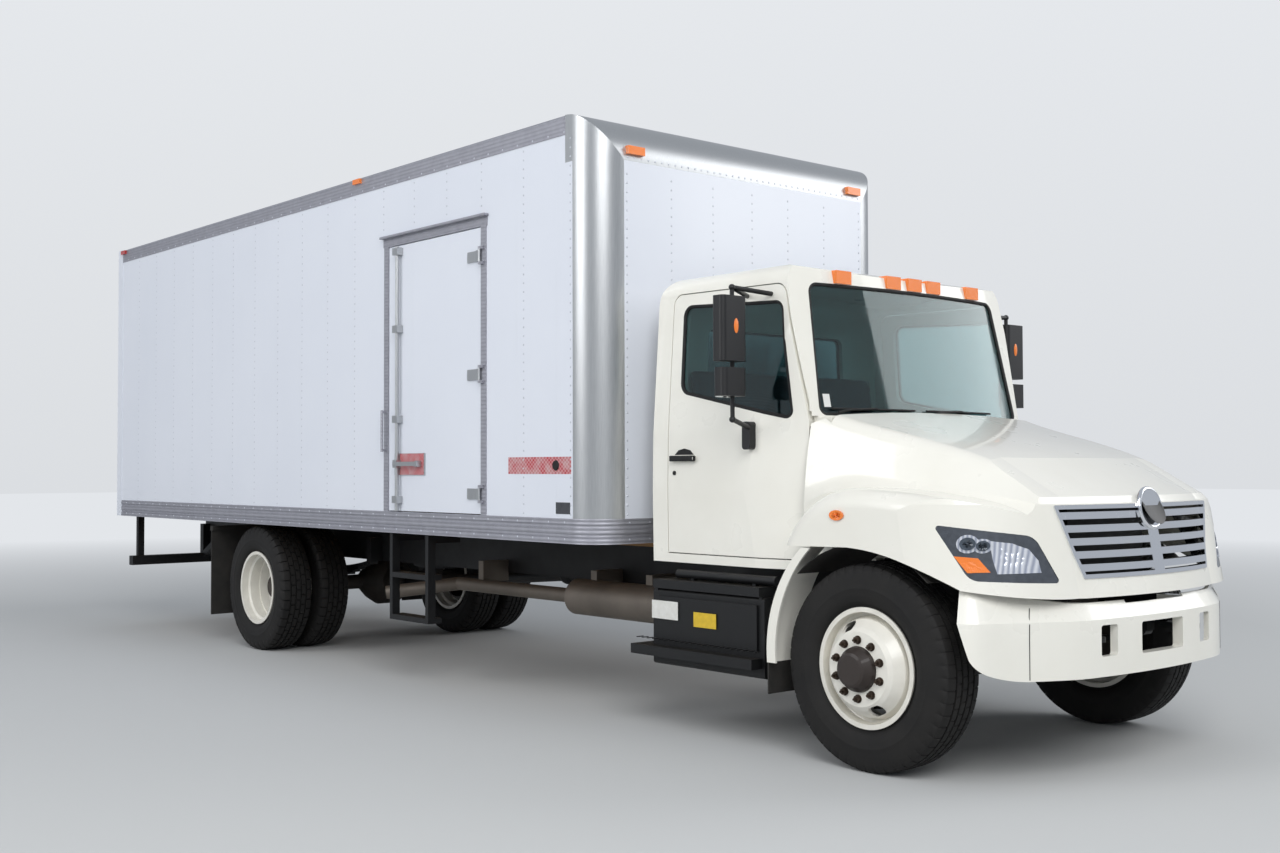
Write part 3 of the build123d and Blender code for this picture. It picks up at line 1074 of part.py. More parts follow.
def front_mudguards():
    """White fixed guards behind the front wheels, curved along the tyres below the hood's fenders."""
    joint = HOOD_JOINT_Z - PANEL_GAP
    rear = ThreePointArc((aft(365), joint), (aft(527), 879), (aft(606), MUDGUARD_BOTTOM))
    front = ThreePointArc((aft(546), MUDGUARD_BOTTOM), (aft(467), 879), (aft(305), joint))
    band = make_face(rear + Line(rear @ 1, front @ 0) + front + Line(front @ 1, rear @ 0))
    width = FENDER_HALF_WIDTH - MUDGUARD_INNER_X
    guard = extrude(Plane.YZ.offset(MUDGUARD_INNER_X) * band, amount=width)
    guard -= extrude(Plane.YZ.offset(MUDGUARD_INNER_X - 1) * (Pos(-HOOD_WALL, 0) * band), amount=width + 1 - HOOD_WALL)
    guard -= block((0, CAB_HALF_WIDTH + PANEL_GAP), (aft(300), aft(700)), (CAB_FLOOR_Z - PANEL_GAP, FAR))
    bracket_x = MUDGUARD_INNER_X + 20
    guard += block((RAIL_OUTER_X, bracket_x), (aft(575), aft(587)), (700, 760))
    guard += block((bracket_x - HOOD_WALL, bracket_x), (aft(558), aft(587)), (700, 760))
    return both_sides(guard)


# Cargo box

def box_plan(inset):
    """The box from above, with round front corners."""
    half = WALL_FACE - inset
    front = BOX_FRONT_Y + inset
    radius = CORNER_RADIUS - inset
    bend = radius * 0.2929
    right = ThreePointArc((half, front + radius), (half - bend, front + bend), (half - radius, front))
    left = ThreePointArc((-half, front + radius), (-half + bend, front + bend), (-half + radius, front))
    nose = Line((half - radius, front), (radius - half, front))
    back = Polyline((half, front + radius), (half, BOX_REAR_Y), (-half, BOX_REAR_Y), (-half, front + radius))
    return make_face(right + left + nose + back)


def box_form(inset, roof_inset):
    """The cargo box's outer form, with a round top edge at its front, drawn in by inset."""
    top = BOX_TOP - roof_inset
    front = BOX_FRONT_Y + inset
    radius = NOSE_RADIUS - inset
    bend = radius * 0.2929
    curve = ThreePointArc((front, top - radius), (front + bend, top - bend), (front + radius, top))
    rest = Polyline((front + radius, top), (BOX_REAR_Y, top), (BOX_REAR_Y, BOX_BOTTOM), (front, BOX_BOTTOM),
                    (front, top - radius))
    profile = extrude(Plane.YZ * make_face(curve + rest), amount=FAR / 2, both=True)
    return profile & extrude(Pos(0, 0, BOX_BOTTOM) * box_plan(inset), amount=BOX_TOP - BOX_BOTTOM)


BOX_SKIN = box_form(0, 0) - box_form(BOX_WALL, ROOF_THICKNESS)
POST_Y = BOX_FRONT_Y + CORNER_RADIUS
POST_X = WALL_FACE - CORNER_RADIUS
NOSE_Z = BOX_TOP - NOSE_RADIUS
NOSE_Y = BOX_FRONT_Y + NOSE_RADIUS
WALL_REAR_Y = BOX_REAR_Y - REAR_FRAME_DEPTH
RAIL_Z = BOX_TOP - TOP_RAIL_HEIGHT


def skin_between(x, y, z):
    """The part of the box's skin that lies between the given planes."""
    return BOX_SKIN & block(x, y, z)


def cargo_wall(side):
    """One side wall between the corner post and the rear frame, below the top rail."""
    x = (POST_X, FAR) if side > 0 else (-FAR, -POST_X)
    wall = skin_between(x, (NOSE_Y, WALL_REAR_Y), (FLOOR_TOP, RAIL_Z))
    wall += skin_between(x, (POST_Y, NOSE_Y), (FLOOR_TOP, NOSE_Z))
    if side < 0:
        wall -= block((-FAR, 0), (SIDE_DOOR_Y, SIDE_DOOR_END), (FLOOR_TOP, SIDE_DOOR_TOP))
    return wall


def cargo_front_wall():
    """The flat front wall between the corner posts."""
    return skin_between((-POST_X, POST_X), (BOX_FRONT_Y - 1, POST_Y), (FLOOR_TOP, NOSE_Z))


def corner_posts():
    """The two round front posts."""
    post = skin_between((POST_X, FAR), (BOX_FRONT_Y - 1, POST_Y), (FLOOR_TOP, NOSE_Z))
    return both_sides(post)


def nose_cap():
    """The rounded cap over the front wall, closed at its two corners."""
    return skin_between((-FAR, FAR), (BOX_FRONT_Y - 1, NOSE_Y), (NOSE_Z, BOX_TOP))


def box_rails():
    """Two top rails and one grooved bottom rail round the sides and front."""
    top = block((WALL_FACE - BOX_WALL, BOX_HALF), (NOSE_Y, WALL_REAR_Y), (RAIL_Z, BOX_TOP))
    top = chamfer(top.edges().filter_by(Axis.Y).group_by(Axis.Z)[-1].sort_by(Axis.X)[-1], 14)
    ring = extrude(Pos(0, 0, BOX_BOTTOM) * box_plan(-RAIL_PROUD), amount=BOTTOM_RAIL_HEIGHT)
    ring -= extrude(Pos(0, 0, BOX_BOTTOM - 1) * box_plan(BOX_WALL), amount=BOTTOM_RAIL_HEIGHT + 2)
    ring &= block((-FAR, FAR), (BOX_FRONT_Y - RAIL_PROUD, WALL_REAR_Y), (0, BOX_TOP))
    for low in (34, 92):
        groove = extrude(Pos(0, 0, BOX_BOTTOM + low) * box_plan(-RAIL_PROUD - 5), amount=26)
        groove -= extrude(Pos(0, 0, BOX_BOTTOM + low - 1) * box_plan(4), amount=28)
        ring -= groove
    return Compound(children=[top.solid(), mirrored(top).solid(), ring.solid()])


def cargo_floor():
    """The floor on its cross sills, with two long sills that rest on the frame."""
    inner = WALL_FACE - BOX_WALL
    low = FLOOR_TOP - FLOOR_THICKNESS
    front = BOX_FRONT_Y + BOX_WALL
    panel = extrude(Pos(0, 0, low) * box_plan(BOX_WALL), amount=FLOOR_THICKNESS)
    panel &= block((-FAR, FAR), (front, WALL_REAR_Y), (low, FLOOR_TOP))
    count = int((WALL_REAR_Y - front - 300) // SILL_PITCH)
    for number in range(count + 1):
        y = front + 150 + number * SILL_PITCH
        panel += block((-inner + 200, inner - 200), (y, y + SILL_WIDTH), (BOX_BOTTOM, low + 1))
    for side in (-1, 1):
        x = sorted((side * (RAIL_OUTER_X - RAIL_FLANGE), side * RAIL_OUTER_X))
        panel += block(x, (front + 60, RAIL_REAR_Y), (RAIL_TOP, BOX_BOTTOM))
    return panel


def cargo_roof():
    """The thin roof skin on its cross bows."""
    inner = WALL_FACE - BOX_WALL
    roof = block((-inner, inner), (NOSE_Y, WALL_REAR_Y), (BOX_TOP - ROOF_THICKNESS, BOX_TOP - 6))
    count = int((WALL_REAR_Y - NOSE_Y) // BOW_PITCH)
    for number in range(count):
        y = NOSE_Y + BOW_PITCH / 2 + number * BOW_PITCH
        roof += block((-inner, inner), (y, y + 40), (BOX_TOP - ROOF_THICKNESS - 30, BOX_TOP - ROOF_THICKNESS + 1))
    return roof


def rear_frame():
    """The rear portal of posts, header and sill."""
    outer = block((-BOX_HALF, BOX_HALF), (WALL_REAR_Y, BOX_REAR_Y), (BOX_BOTTOM, BOX_TOP))
    opening = block((-BOX_HALF + REAR_POST_WIDTH, BOX_HALF - REAR_POST_WIDTH), (WALL_REAR_Y - 1, BOX_REAR_Y + 1),
                    (FLOOR_TOP, BOX_TOP - REAR_HEADER_HEIGHT))
    return outer - opening


def roll_up_door():
    """The closed roll-up door: a curtain of eight slats with a bottom handle."""
    half = BOX_HALF - REAR_POST_WIDTH - SEAT_GAP
    low = FLOOR_TOP + SEAT_GAP
    high = BOX_TOP - REAR_HEADER_HEIGHT - SEAT_GAP
    y = (BOX_REAR_Y - 75, BOX_REAR_Y - 50)
    door = block((-half, half), y, (low, high))
    pitch = (high - low) / SLAT_COUNT
    for number in range(1, SLAT_COUNT):
        z = low + number * pitch
        door -= block((-half - 1, half + 1), (y[1] - 6, y[1] + 1), (z - 5, z + 5))
    door += block((-110, 110), (y[1] - 1, y[1] + 26), (low + 60, low + 90))
    return door


def side_door_frame():
    """Header, jambs and drip rail round the side door's opening, with keepers and a grab handle."""
    face = (-BOX_HALF - 2, -WALL_FACE)
    frame = block(face, (SIDE_DOOR_Y - 70, SIDE_DOOR_END + 70), (SIDE_DOOR_TOP, SIDE_DOOR_TOP + 60))
    frame += block((-BOX_HALF - 30, -WALL_FACE), (SIDE_DOOR_Y - 80, SIDE_DOOR_END + 80),
                   (SIDE_DOOR_TOP + 60, SIDE_DOOR_TOP + 76))
    frame += block(face, (SIDE_DOOR_END, SIDE_DOOR_END + 60), (FLOOR_TOP, SIDE_DOOR_TOP + 1))
    frame += block(face, (SIDE_DOOR_Y - 60, SIDE_DOOR_Y), (FLOOR_TOP, SIDE_DOOR_TOP + 1))
    handle_y = SIDE_DOOR_END + 30
    bar_x = -BOX_HALF - 36
    frame += rod((bar_x, handle_y, 1608), (bar_x, handle_y, 1902), 9)
    for z in (1620, 1890):
        frame += rod((-BOX_HALF, handle_y, z), (bar_x, handle_y, z), 8)
    pin_x = -BOX_HALF - SIDE_DOOR_HINGE_OFFSET
    for z in HINGE_HEIGHTS:
        frame += rod((pin_x, SIDE_DOOR_Y, z - HINGE_HALF - 10), (pin_x, SIDE_DOOR_Y, z + HINGE_HALF + 10), HINGE_PIN_RADIUS)
        for low in (z + HINGE_HALF + SEAT_GAP, z - HINGE_HALF - SEAT_GAP - 18):
            frame += rod((pin_x, SIDE_DOOR_Y, low), (pin_x, SIDE_DOOR_Y, low + 18), HINGE_RADIUS)
            frame += block((pin_x - 5, -BOX_HALF), (SIDE_DOOR_Y - 40, SIDE_DOOR_Y), (low, low + 18))
    return frame


def side_door():
    """The flush side door leaf."""
    y = (SIDE_DOOR_Y + PANEL_GAP, SIDE_DOOR_END - PANEL_GAP)
    z = (FLOOR_TOP + PANEL_GAP, SIDE_DOOR_TOP - PANEL_GAP)
    return block((-WALL_FACE, -WALL_FACE + BOX_WALL), y, z)


def side_door_hardware():
    """Lock rod with guides and handle, and the three strap hinges."""
    rod_x = -WALL_FACE - 26
    top = SIDE_DOOR_TOP - PANEL_GAP - 10
    bar = rod((rod_x, LOCK_ROD_Y, FLOOR_TOP + PANEL_GAP), (rod_x, LOCK_ROD_Y, top), 14)
    for z in (FLOOR_TOP + 60, FLOOR_TOP + 620, FLOOR_TOP + 1250, top - 60):
        bar += block((rod_x - 20, -WALL_FACE), (LOCK_ROD_Y - 34, LOCK_ROD_Y + 34), (z, z + 50))
    latch_z = 1446
    bar += block((-WALL_FACE - 8, -WALL_FACE), (LOCK_ROD_Y - 330, LOCK_ROD_Y + 60), (latch_z, latch_z + 150))
    bar += block((rod_x - 20, -WALL_FACE - 8), (LOCK_ROD_Y - 24, LOCK_ROD_Y + 24), (latch_z + 50, latch_z + 105))
    bar += block((rod_x - 30, rod_x - 19), (LOCK_ROD_Y - 300, LOCK_ROD_Y + 10), (latch_z + 62, latch_z + 92))
    bar += block((rod_x - 20, -WALL_FACE - 8), (LOCK_ROD_Y - 290, LOCK_ROD_Y - 262), (latch_z + 56, latch_z + 98))
    pieces = [bar.solid()]
    for z in HINGE_HEIGHTS:
        pin_x = -BOX_HALF - SIDE_DOOR_HINGE_OFFSET
        strap = block((-BOX_HALF - 6, -WALL_FACE), (SIDE_DOOR_Y + PANEL_GAP, SIDE_DOOR_Y + 150), (z - 35, z + 35))
        strap += rod((pin_x, SIDE_DOOR_Y, z - HINGE_HALF), (pin_x, SIDE_DOOR_Y, z + HINGE_HALF), HINGE_RADIUS)
        strap += block((pin_x - 5, -BOX_HALF), (SIDE_DOOR_Y + 5, SIDE_DOOR_Y + 30), (z - 35, z + 35))
        strap -= rod((pin_x, SIDE_DOOR_Y, z - HINGE_HALF - 1), (pin_x, SIDE_DOOR_Y, z + HINGE_HALF + 1),
                     HINGE_PIN_RADIUS + RUNNING_FIT)
        pieces.append(strap.solid())
    return Compound(children=pieces)


def marker_lamps():
    """Clearance lamps: five on the cab roof, six on the box."""
    lamps = []
    for x, spot in ((-580, 596), (-181, 572), (0, 566), (181, 572), (580, 596)):
        lamp = block((x - 62, x + 62), (aft(spot), aft(spot + 70)), (2500, 2572))
        lamp -= CAB_OUTER
        lamp = lamp.solids().sort_by(SortBy.VOLUME)[-1]
        lamps.append(lamp)
    middle = (BOX_FRONT_Y + BOX_REAR_Y) / 2
    for side in (-1, 1):
        face = sorted((side * BOX_HALF, side * (BOX_HALF + 20)))
        for y in (aft(4644), BOX_REAR_Y - 150):
            lamp = block(face, (y - 50, y + 50), (BOX_TOP - 46, BOX_TOP - 10))
            lamps.append(lamp.solid())
        nose = block(sorted((side * (POST_X - 20), side * (POST_X - 150))), (BOX_FRONT_Y - 20, BOX_FRONT_Y + 60),
                     (NOSE_Z + 40, NOSE_Z + 90))
        nose -= box_form(0, 0)
        lamps.append(nose.solids().sort_by(SortBy.VOLUME)[-1])
    return Compound(children=lamps)


def build():
    """Make every piece and write it."""
    os.makedirs("parts", exist_ok=True)
    save("frame_rails", frame_rails())
    save("frame_crossmembers", frame_crossmembers())
    save("engine_block", engine_block())
    save("radiator", radiator())
    save("drive_shaft", drive_shaft())
    save("exhaust", exhaust())
    save("front_axle", front_axle())
    save("rear_axle", rear_axle())
    save("leaf_springs", leaf_springs())
    save("fuel_tank", fuel_tank())
    save("battery_box", battery_box())
    save("underride_guard", underride_guard())
    save("mudflaps", mudflaps())
    save("side_ladder", side_ladder())
    save("cab_shell", cab_shell())
    save("cab_glass", cab_glass())
    save("dashboard", dashboard())
    save("steering_wheel", steering_wheel())
    save("seats", seats())
    save("front_bumper", front_bumper())
    save("front_mudguards", front_mudguards())
    save("cargo_floor", cargo_floor())
    save("cargo_wall_left", cargo_wall(1))
    save("cargo_wall_right", cargo_wall(-1))
    save("cargo_front_wall", cargo_front_wall())
    save("cargo_roof", cargo_roof())
    save("corner_posts", corner_posts())
    save("nose_cap", nose_cap())
    save("box_rails", box_rails())
    save("rear_frame", rear_frame())
    save("roll_up_door", roll_up_door())
    save("side_door_frame", side_door_frame())
    save("marker_lamps", marker_lamps())
    save("hood", hood())
    save("grille", grille())
    save("headlamps", headlamps())
    save("side_door", side_door())
    save("side_door_hardware", side_door_hardware())
    save("tie_rod", tie_rod())
    for side, word in ((-1, "right"), (1, "left")):
        save("cab_door_" + word, cab_door(side))
        save("door_glass_" + word, door_glass(side))
        save("mirror_" + word, mirror_set(side))
        save("knuckle_" + word, knuckle(side))
        save("front_wheel_" + word, front_wheel(side))
        save("front_tyre_" + word, tyre(side * FRONT_TYRE_X, FRONT_AXLE_Y))
        save("rear_wheels_" + word, rear_wheel_pair(side))
        twins = [tyre(side * REAR_OUTER_TYRE_X, REAR_AXLE_Y).solid(), tyre(side * REAR_INNER_TYRE_X, REAR_AXLE_Y).solid()]
        save("rear_tyres_" + word, Compound(children=twins))


build()
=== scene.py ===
from math import cos, pi, radians, sin

import bpy
from mathutils import Matrix, Vector


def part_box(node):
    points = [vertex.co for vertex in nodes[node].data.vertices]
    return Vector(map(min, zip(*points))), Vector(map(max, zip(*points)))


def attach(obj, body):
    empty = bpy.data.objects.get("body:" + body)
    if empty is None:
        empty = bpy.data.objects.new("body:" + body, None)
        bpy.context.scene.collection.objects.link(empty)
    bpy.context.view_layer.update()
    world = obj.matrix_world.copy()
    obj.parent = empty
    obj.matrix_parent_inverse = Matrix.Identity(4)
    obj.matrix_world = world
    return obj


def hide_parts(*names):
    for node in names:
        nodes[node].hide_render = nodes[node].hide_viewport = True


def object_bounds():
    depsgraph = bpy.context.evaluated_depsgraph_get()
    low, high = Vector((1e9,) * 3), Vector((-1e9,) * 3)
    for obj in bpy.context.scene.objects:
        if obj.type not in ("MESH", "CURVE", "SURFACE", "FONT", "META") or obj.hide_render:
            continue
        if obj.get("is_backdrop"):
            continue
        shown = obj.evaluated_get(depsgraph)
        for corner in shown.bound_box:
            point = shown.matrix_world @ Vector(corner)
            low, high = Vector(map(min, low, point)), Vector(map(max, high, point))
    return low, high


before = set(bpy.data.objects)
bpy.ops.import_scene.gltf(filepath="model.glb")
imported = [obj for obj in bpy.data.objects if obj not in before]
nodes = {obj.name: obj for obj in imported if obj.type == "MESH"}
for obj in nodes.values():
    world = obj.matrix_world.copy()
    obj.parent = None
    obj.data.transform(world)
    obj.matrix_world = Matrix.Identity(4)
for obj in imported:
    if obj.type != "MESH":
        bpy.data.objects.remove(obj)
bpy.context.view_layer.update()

# A bonnetted box truck that faces -Y, with its left side on +X and the floor at z = 0.
# Every size here is in metres.

# Camera, floor and light.
# The camera stands at eye height off the truck's right front corner, as the photograph was taken.
# The floor is a plain pale plane, and three large soft lamps and an even sky light the truck.
front_axle_y = -4.1795
camera_data = bpy.data.cameras.new("camera")
camera_data.sensor_width = 36
camera_data.lens = 40.21
camera_data.clip_end = 200
camera = bpy.data.objects.new("camera", camera_data)
bpy.context.scene.collection.objects.link(camera)
heading = radians(40.75)
climb = radians(1.614)
look = Vector((sin(heading) * cos(climb), cos(heading) * cos(climb), sin(climb)))
roll = Matrix.Rotation(radians(-0.16), 3, "Z")
camera.rotation_euler = (look.to_track_quat("-Z", "Y").to_matrix() @ roll).to_euler()
camera.location = (-6.5447, front_axle_y - 4.6048, 1.4984)
bpy.context.scene.camera = camera
bpy.context.scene.view_settings.view_transform = "Standard"


def linear(hex_colour):
    """An sRGB hex colour as the linear colour that a shader takes."""
    parts = [int(hex_colour[at:at + 2], 16) / 255 for at in (1, 3, 5)]
    return [*(part / 12.92 if part <= 0.04045 else ((part + 0.055) / 1.055) ** 2.4 for part in parts), 1.0]


def add(tree, kind, settings, inputs):
    """Add one shader node with its settings, and a value or a link for each input."""
    node = tree.nodes.new(kind)
    for name, value in settings.items():
        setattr(node, name, value)
    for socket, value in inputs.items():
        if isinstance(value, bpy.types.NodeSocket):
            tree.links.new(value, node.inputs[socket])
        else:
            node.inputs[socket].default_value = value
    return node


def new_material(name):
    """An empty node material, its tree, and the truck's own coordinates as its shaders read them."""
    material = bpy.data.materials.new(name)
    material.use_nodes = True
    tree = material.node_tree
    tree.nodes.clear()
    return material, tree, add(tree, "ShaderNodeTexCoord", {}, {}).outputs["Object"]


def maths(tree, operation, *values):
    """One operation on shader values."""
    return add(tree, "ShaderNodeMath", {"operation": operation}, dict(enumerate(values))).outputs[0]


def ranged(tree, value, taken, given):
    """A shader value moved from the range taken to the range given."""
    limits = {"From Min": taken[0], "From Max": taken[1], "To Min": given[0], "To Max": given[1]}
    return add(tree, "ShaderNodeMapRange", {}, {"Value": value, **limits}).outputs[0]


pale_floor, tree, place = new_material("painted_studio_floor")
seen = add(tree, "ShaderNodeLightPath", {}, {})
reach = add(tree, "ShaderNodeVectorMath", {"operation": "LENGTH"}, {0: place})
# Seen far from the truck, the floor turns as pale as the sky; it throws no more light for that
far = ranged(tree, reach.outputs["Value"], (7.0, 22.0), (0.0, 1.0))
paling = maths(tree, "MULTIPLY", far, seen.outputs["Is Camera Ray"])
shade = add(tree, "ShaderNodeBsdfDiffuse", {}, {"Color": linear("#c4c5c4")})
pale = add(tree, "ShaderNodeEmission", {}, {"Color": linear("#e3e6ea"), "Strength": 1.0})
ground = add(tree, "ShaderNodeMixShader", {}, {0: paling, 1: shade.outputs[0], 2: pale.outputs[0]})
add(tree, "ShaderNodeOutputMaterial", {}, {"Surface": ground.outputs[0]})
bpy.ops.mesh.primitive_plane_add(size=160)
floor = bpy.context.active_object
floor.name = "floor"
floor.data.materials.append(pale_floor)
floor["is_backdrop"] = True

world = bpy.data.worlds.new("soft_sky")
bpy.context.scene.world = world
world.use_nodes = True
sky_tree = world.node_tree
sky_tree.nodes.clear()
sky_place = add(sky_tree, "ShaderNodeTexCoord", {}, {})
sky_height = add(sky_tree, "ShaderNodeSeparateXYZ", {}, {"Vector": sky_place.outputs["Generated"]})
sky_fade = ranged(sky_tree, sky_height.outputs["Z"], (-0.05, 0.6), (0.82, 1.0))
sky = add(sky_tree, "ShaderNodeBackground", {}, {"Color": linear("#dfe5ee"), "Strength": 0.62})
white = add(sky_tree, "ShaderNodeBackground", {}, {"Color": linear("#eef1f5"), "Strength": sky_fade})
path = add(sky_tree, "ShaderNodeLightPath", {}, {})
camera_or_glass = maths(sky_tree, "MAXIMUM", path.outputs["Is Camera Ray"], path.outputs["Is Transmission Ray"])
choice = add(sky_tree, "ShaderNodeMixShader", {}, {0: camera_or_glass, 1: sky.outputs[0], 2: white.outputs[0]})
add(sky_tree, "ShaderNodeOutputWorld", {}, {"Surface": choice.outputs[0]})

lamp_size = 9
# Columns: name, place, point that the lamp faces, power in watts
for name, place, target, power in [
        ("key_lamp", (-9, -14, 11), (0, -2, 1.2), 1500),
        ("side_lamp", (-16, 3, 8), (0, 1, 1.8), 900),
        ("fill_lamp", (12, -10, 9), (0, -1, 1.5), 700)]:
    lamp_data = bpy.data.lights.new(name, "AREA")
    lamp_data.shape = "SQUARE"
    lamp_data.size = lamp_size
    lamp_data.energy = power
    lamp = bpy.data.objects.new(name, lamp_data)
    bpy.context.scene.collection.objects.link(lamp)
    lamp.location = place
    lamp.rotation_euler = (Vector(target) - Vector(place)).to_track_quat("-Z", "Y").to_euler()

# Chassis: rails, crossmembers, axles, springs, drive line, tank, battery box, guard and ladder.
# Real ones are pressed and forged steel in satin black paint, dusty on every face that looks up.


def surface(tree, inputs):
    """The shader that ends a material, joined to its output."""
    shader = add(tree, "ShaderNodeBsdfPrincipled", {}, inputs)
    add(tree, "ShaderNodeOutputMaterial", {}, {"Surface": shader.outputs["BSDF"]})


def noise(tree, place, scale, detail=2.0):
    """Cloudy noise, with about as many blotches to a metre as its scale says."""
    return add(tree, "ShaderNodeTexNoise", {}, {"Vector": place, "Scale": scale, "Detail": detail}).outputs[0]


def mixed(tree, share, first, second):
    """Two colours mixed. Each is a hex colour or comes from another shader node."""
    first, second = (linear(colour) if isinstance(colour, str) else colour for colour in (first, second))
    inputs = {"Factor": share, "A": first, "B": second}
    return add(tree, "ShaderNodeMix", {"data_type": "RGBA"}, inputs).outputs["Result"]


def give(material, *names):
    """Put a material on CAD nodes."""
    for name in names:
        nodes[name].data.materials.clear()
        nodes[name].data.materials.append(material)


chassis_paint, tree, place = new_material("satin_black_chassis_enamel")
# Road dust gathers in patches about a hand wide
patches = noise(tree, place, 9.0, 6.0)
facing = add(tree, "ShaderNodeNewGeometry", {}, {})
up = add(tree, "ShaderNodeSeparateXYZ", {}, {"Vector": facing.outputs["Normal"]})
dust = ranged(tree, up.outputs["Z"], (0.2, 1.0), (0.0, 0.35))
dust_share = maths(tree, "MULTIPLY", dust, patches)
colour = mixed(tree, dust_share, "#0f1012", "#4a443b")
rough = ranged(tree, patches, (0.0, 1.0), (0.38, 0.6))
surface(tree, {"Base Color": colour, "Roughness": rough, "Specular IOR Level": 0.4})
give(chassis_paint, "frame_rails", "frame_crossmembers", "drive_shaft", "leaf_springs", "fuel_tank", "battery_box",
     "underride_guard", "side_ladder", "radiator")

# Axles, knuckles and engine: rough castings and forgings in black and grey paint.
# Springs hold the axles, and rubber mounts the engine. Oil and dust stain them in patches.


def bump(tree, height, strength, distance):
    """A relief in the surface's shading."""
    return add(tree, "ShaderNodeBump", {}, {"Height": height, "Strength": strength, "Distance": distance}).outputs[0]


cast_iron, tree, place = new_material("painted_cast_iron")
# Sand-cast skin, with a grain of about 3 mm
skin = noise(tree, place, 330.0, 4.0)
stain = noise(tree, place, 7.0, 5.0)
colour = mixed(tree, stain, "#1c1c1d", "#4a443d")
relief = bump(tree, skin, 0.3, 0.001)
surface(tree, {"Base Color": colour, "Roughness": 0.65, "Metallic": 0.2, "Normal": relief})
give(cast_iron, "front_axle", "rear_axle", "knuckle_right", "knuckle_left", "tie_rod", "engine_block")

# Exhaust: rolled and welded aluminised steel, hung from the right frame rail.
# Heat has dulled it and browned it in clouds.
exhaust_steel, tree, place = new_material("aluminised_steel_heat_dulled")
heat = noise(tree, place, 4.0, 8.0)
colour = mixed(tree, heat, "#5d5851", "#8a8178")
surface(tree, {"Base Color": colour, "Roughness": 0.55, "Metallic": 0.8})
give(exhaust_steel, "exhaust")

# Wheels: pressed steel rims and discs in gloss white enamel, bolted to a dark cast hub and brake drum.
# Hub and drum are told from the enamel by their distance from the axle.
hub_height = 0.51
rear_axle_y = 2.2505
# Columns: wheels, axle's y, |x| up to which the drum shows, radius of the drum, radius of the hub
for ends, axle_y, drum_x, drum_radius, hub_radius in [
        ("front_wheel", front_axle_y, 1.07, 0.215, 0.1125), ("rear_wheels", rear_axle_y, 0.912, 0.21, 0.1125)]:
    wheel_enamel, tree, place = new_material("white_wheel_enamel_" + ends)
    from_axle = add(tree, "ShaderNodeVectorMath", {"operation": "SUBTRACT"}, {0: place, 1: (0, axle_y, hub_height)})
    flat = add(tree, "ShaderNodeVectorMath", {"operation": "MULTIPLY"}, {0: from_axle.outputs[0], 1: (0, 1, 1)})
    distance = add(tree, "ShaderNodeVectorMath", {"operation": "LENGTH"}, {0: flat.outputs[0]})
    across = add(tree, "ShaderNodeSeparateXYZ", {}, {"Vector": place})
    side_x = maths(tree, "ABSOLUTE", across.outputs["X"])
    inboard = maths(tree, "LESS_THAN", side_x, drum_x)
    in_drum = maths(tree, "LESS_THAN", distance.outputs["Value"], drum_radius)
    drum = maths(tree, "MULTIPLY", inboard, in_drum)
    hub = maths(tree, "LESS_THAN", distance.outputs["Value"], hub_radius)
    iron = maths(tree, "MAXIMUM", drum, hub)
    # Road grime lies in spots of about 70 mm, and thickens toward the rim
    grime = noise(tree, place, 14.0, 6.0)
    outward = ranged(tree, distance.outputs["Value"], (0.15, 0.31), (0.12, 0.4))
    share = maths(tree, "MULTIPLY", grime, outward)
    enamel = mixed(tree, share, "#ece9df", "#7d7363")
    colour = mixed(tree, iron, enamel, "#2a211c")
    rough = ranged(tree, iron, (0.0, 1.0), (0.3, 0.62))
    surface(tree, {"Base Color": colour, "Roughness": rough, "Coat Weight": 0.2})
    give(wheel_enamel, ends + "_right", ends + "_left")

# Wheel nuts: ten flanged steel nuts with pointed stud ends hold each front wheel and each rear pair.
# They are dark with road film, and sit on the disc round the hub.
nut_steel, tree, place = new_material("oiled_dark_steel_nuts")
film = noise(tree, place, 60.0, 4.0)
colour = mixed(tree, film, "#1d1c1c", "#5d4c3e")
surface(tree, {"Base Color": colour, "Roughness": 0.45, "Metallic": 0.7})


def picked(piece):
    """Make a piece the only selected one, and the active one."""
    bpy.ops.object.select_all(action="DESELECT")
    piece.select_set(True)
    bpy.context.view_layer.objects.active = piece
    return piece


def meshed(name, points, faces):
    """A piece from its corners and the faces between them."""
    mesh = bpy.data.meshes.new(name)
    mesh.from_pydata(points, [], faces)
    piece = bpy.data.objects.new(name, mesh)
    bpy.context.scene.collection.objects.link(piece)
    return piece


def many(name, source, places):
    """One piece with a copy of the source's mesh at each place. The source is taken away."""
    points, faces = [], []
    for place in places:
        start = len(points)
        points += [place @ corner.co for corner in source.data.vertices]
        faces += [[start + corner for corner in face.vertices] for face in source.data.polygons]
    bpy.data.objects.remove(source)
    return meshed(name, points, faces)


def disc(name, radius, depth, corners, top=None):
    """A short round bar along X from its base at x = 0. It narrows to the radius top, where that is given."""
    top = radius if top is None else top
    bpy.ops.mesh.primitive_cone_add(vertices=corners, radius1=radius, radius2=top, depth=depth)
    piece = bpy.context.active_object
    piece.name = name
    piece.data.transform(Matrix.Rotation(pi / 2, 4, "Y") @ Matrix.Translation((0, 0, depth / 2)))
    return piece


def merged(name, *pieces):
    """Several pieces joined into one of this name."""
    for piece in pieces[1:]:
        picked(pieces[0])
        piece.select_set(True)
        bpy.ops.object.join()
    pieces[0].name = name
    return pieces[0]


def met(node, origin, direction):
    """Where a ray first meets a CAD node."""
    found, point, _, _ = nodes[node].ray_cast(Vector(origin), Vector(direction), distance=4.0)
    if not found:
        raise ValueError("no surface of %s from %s" % (node, origin))
    return point


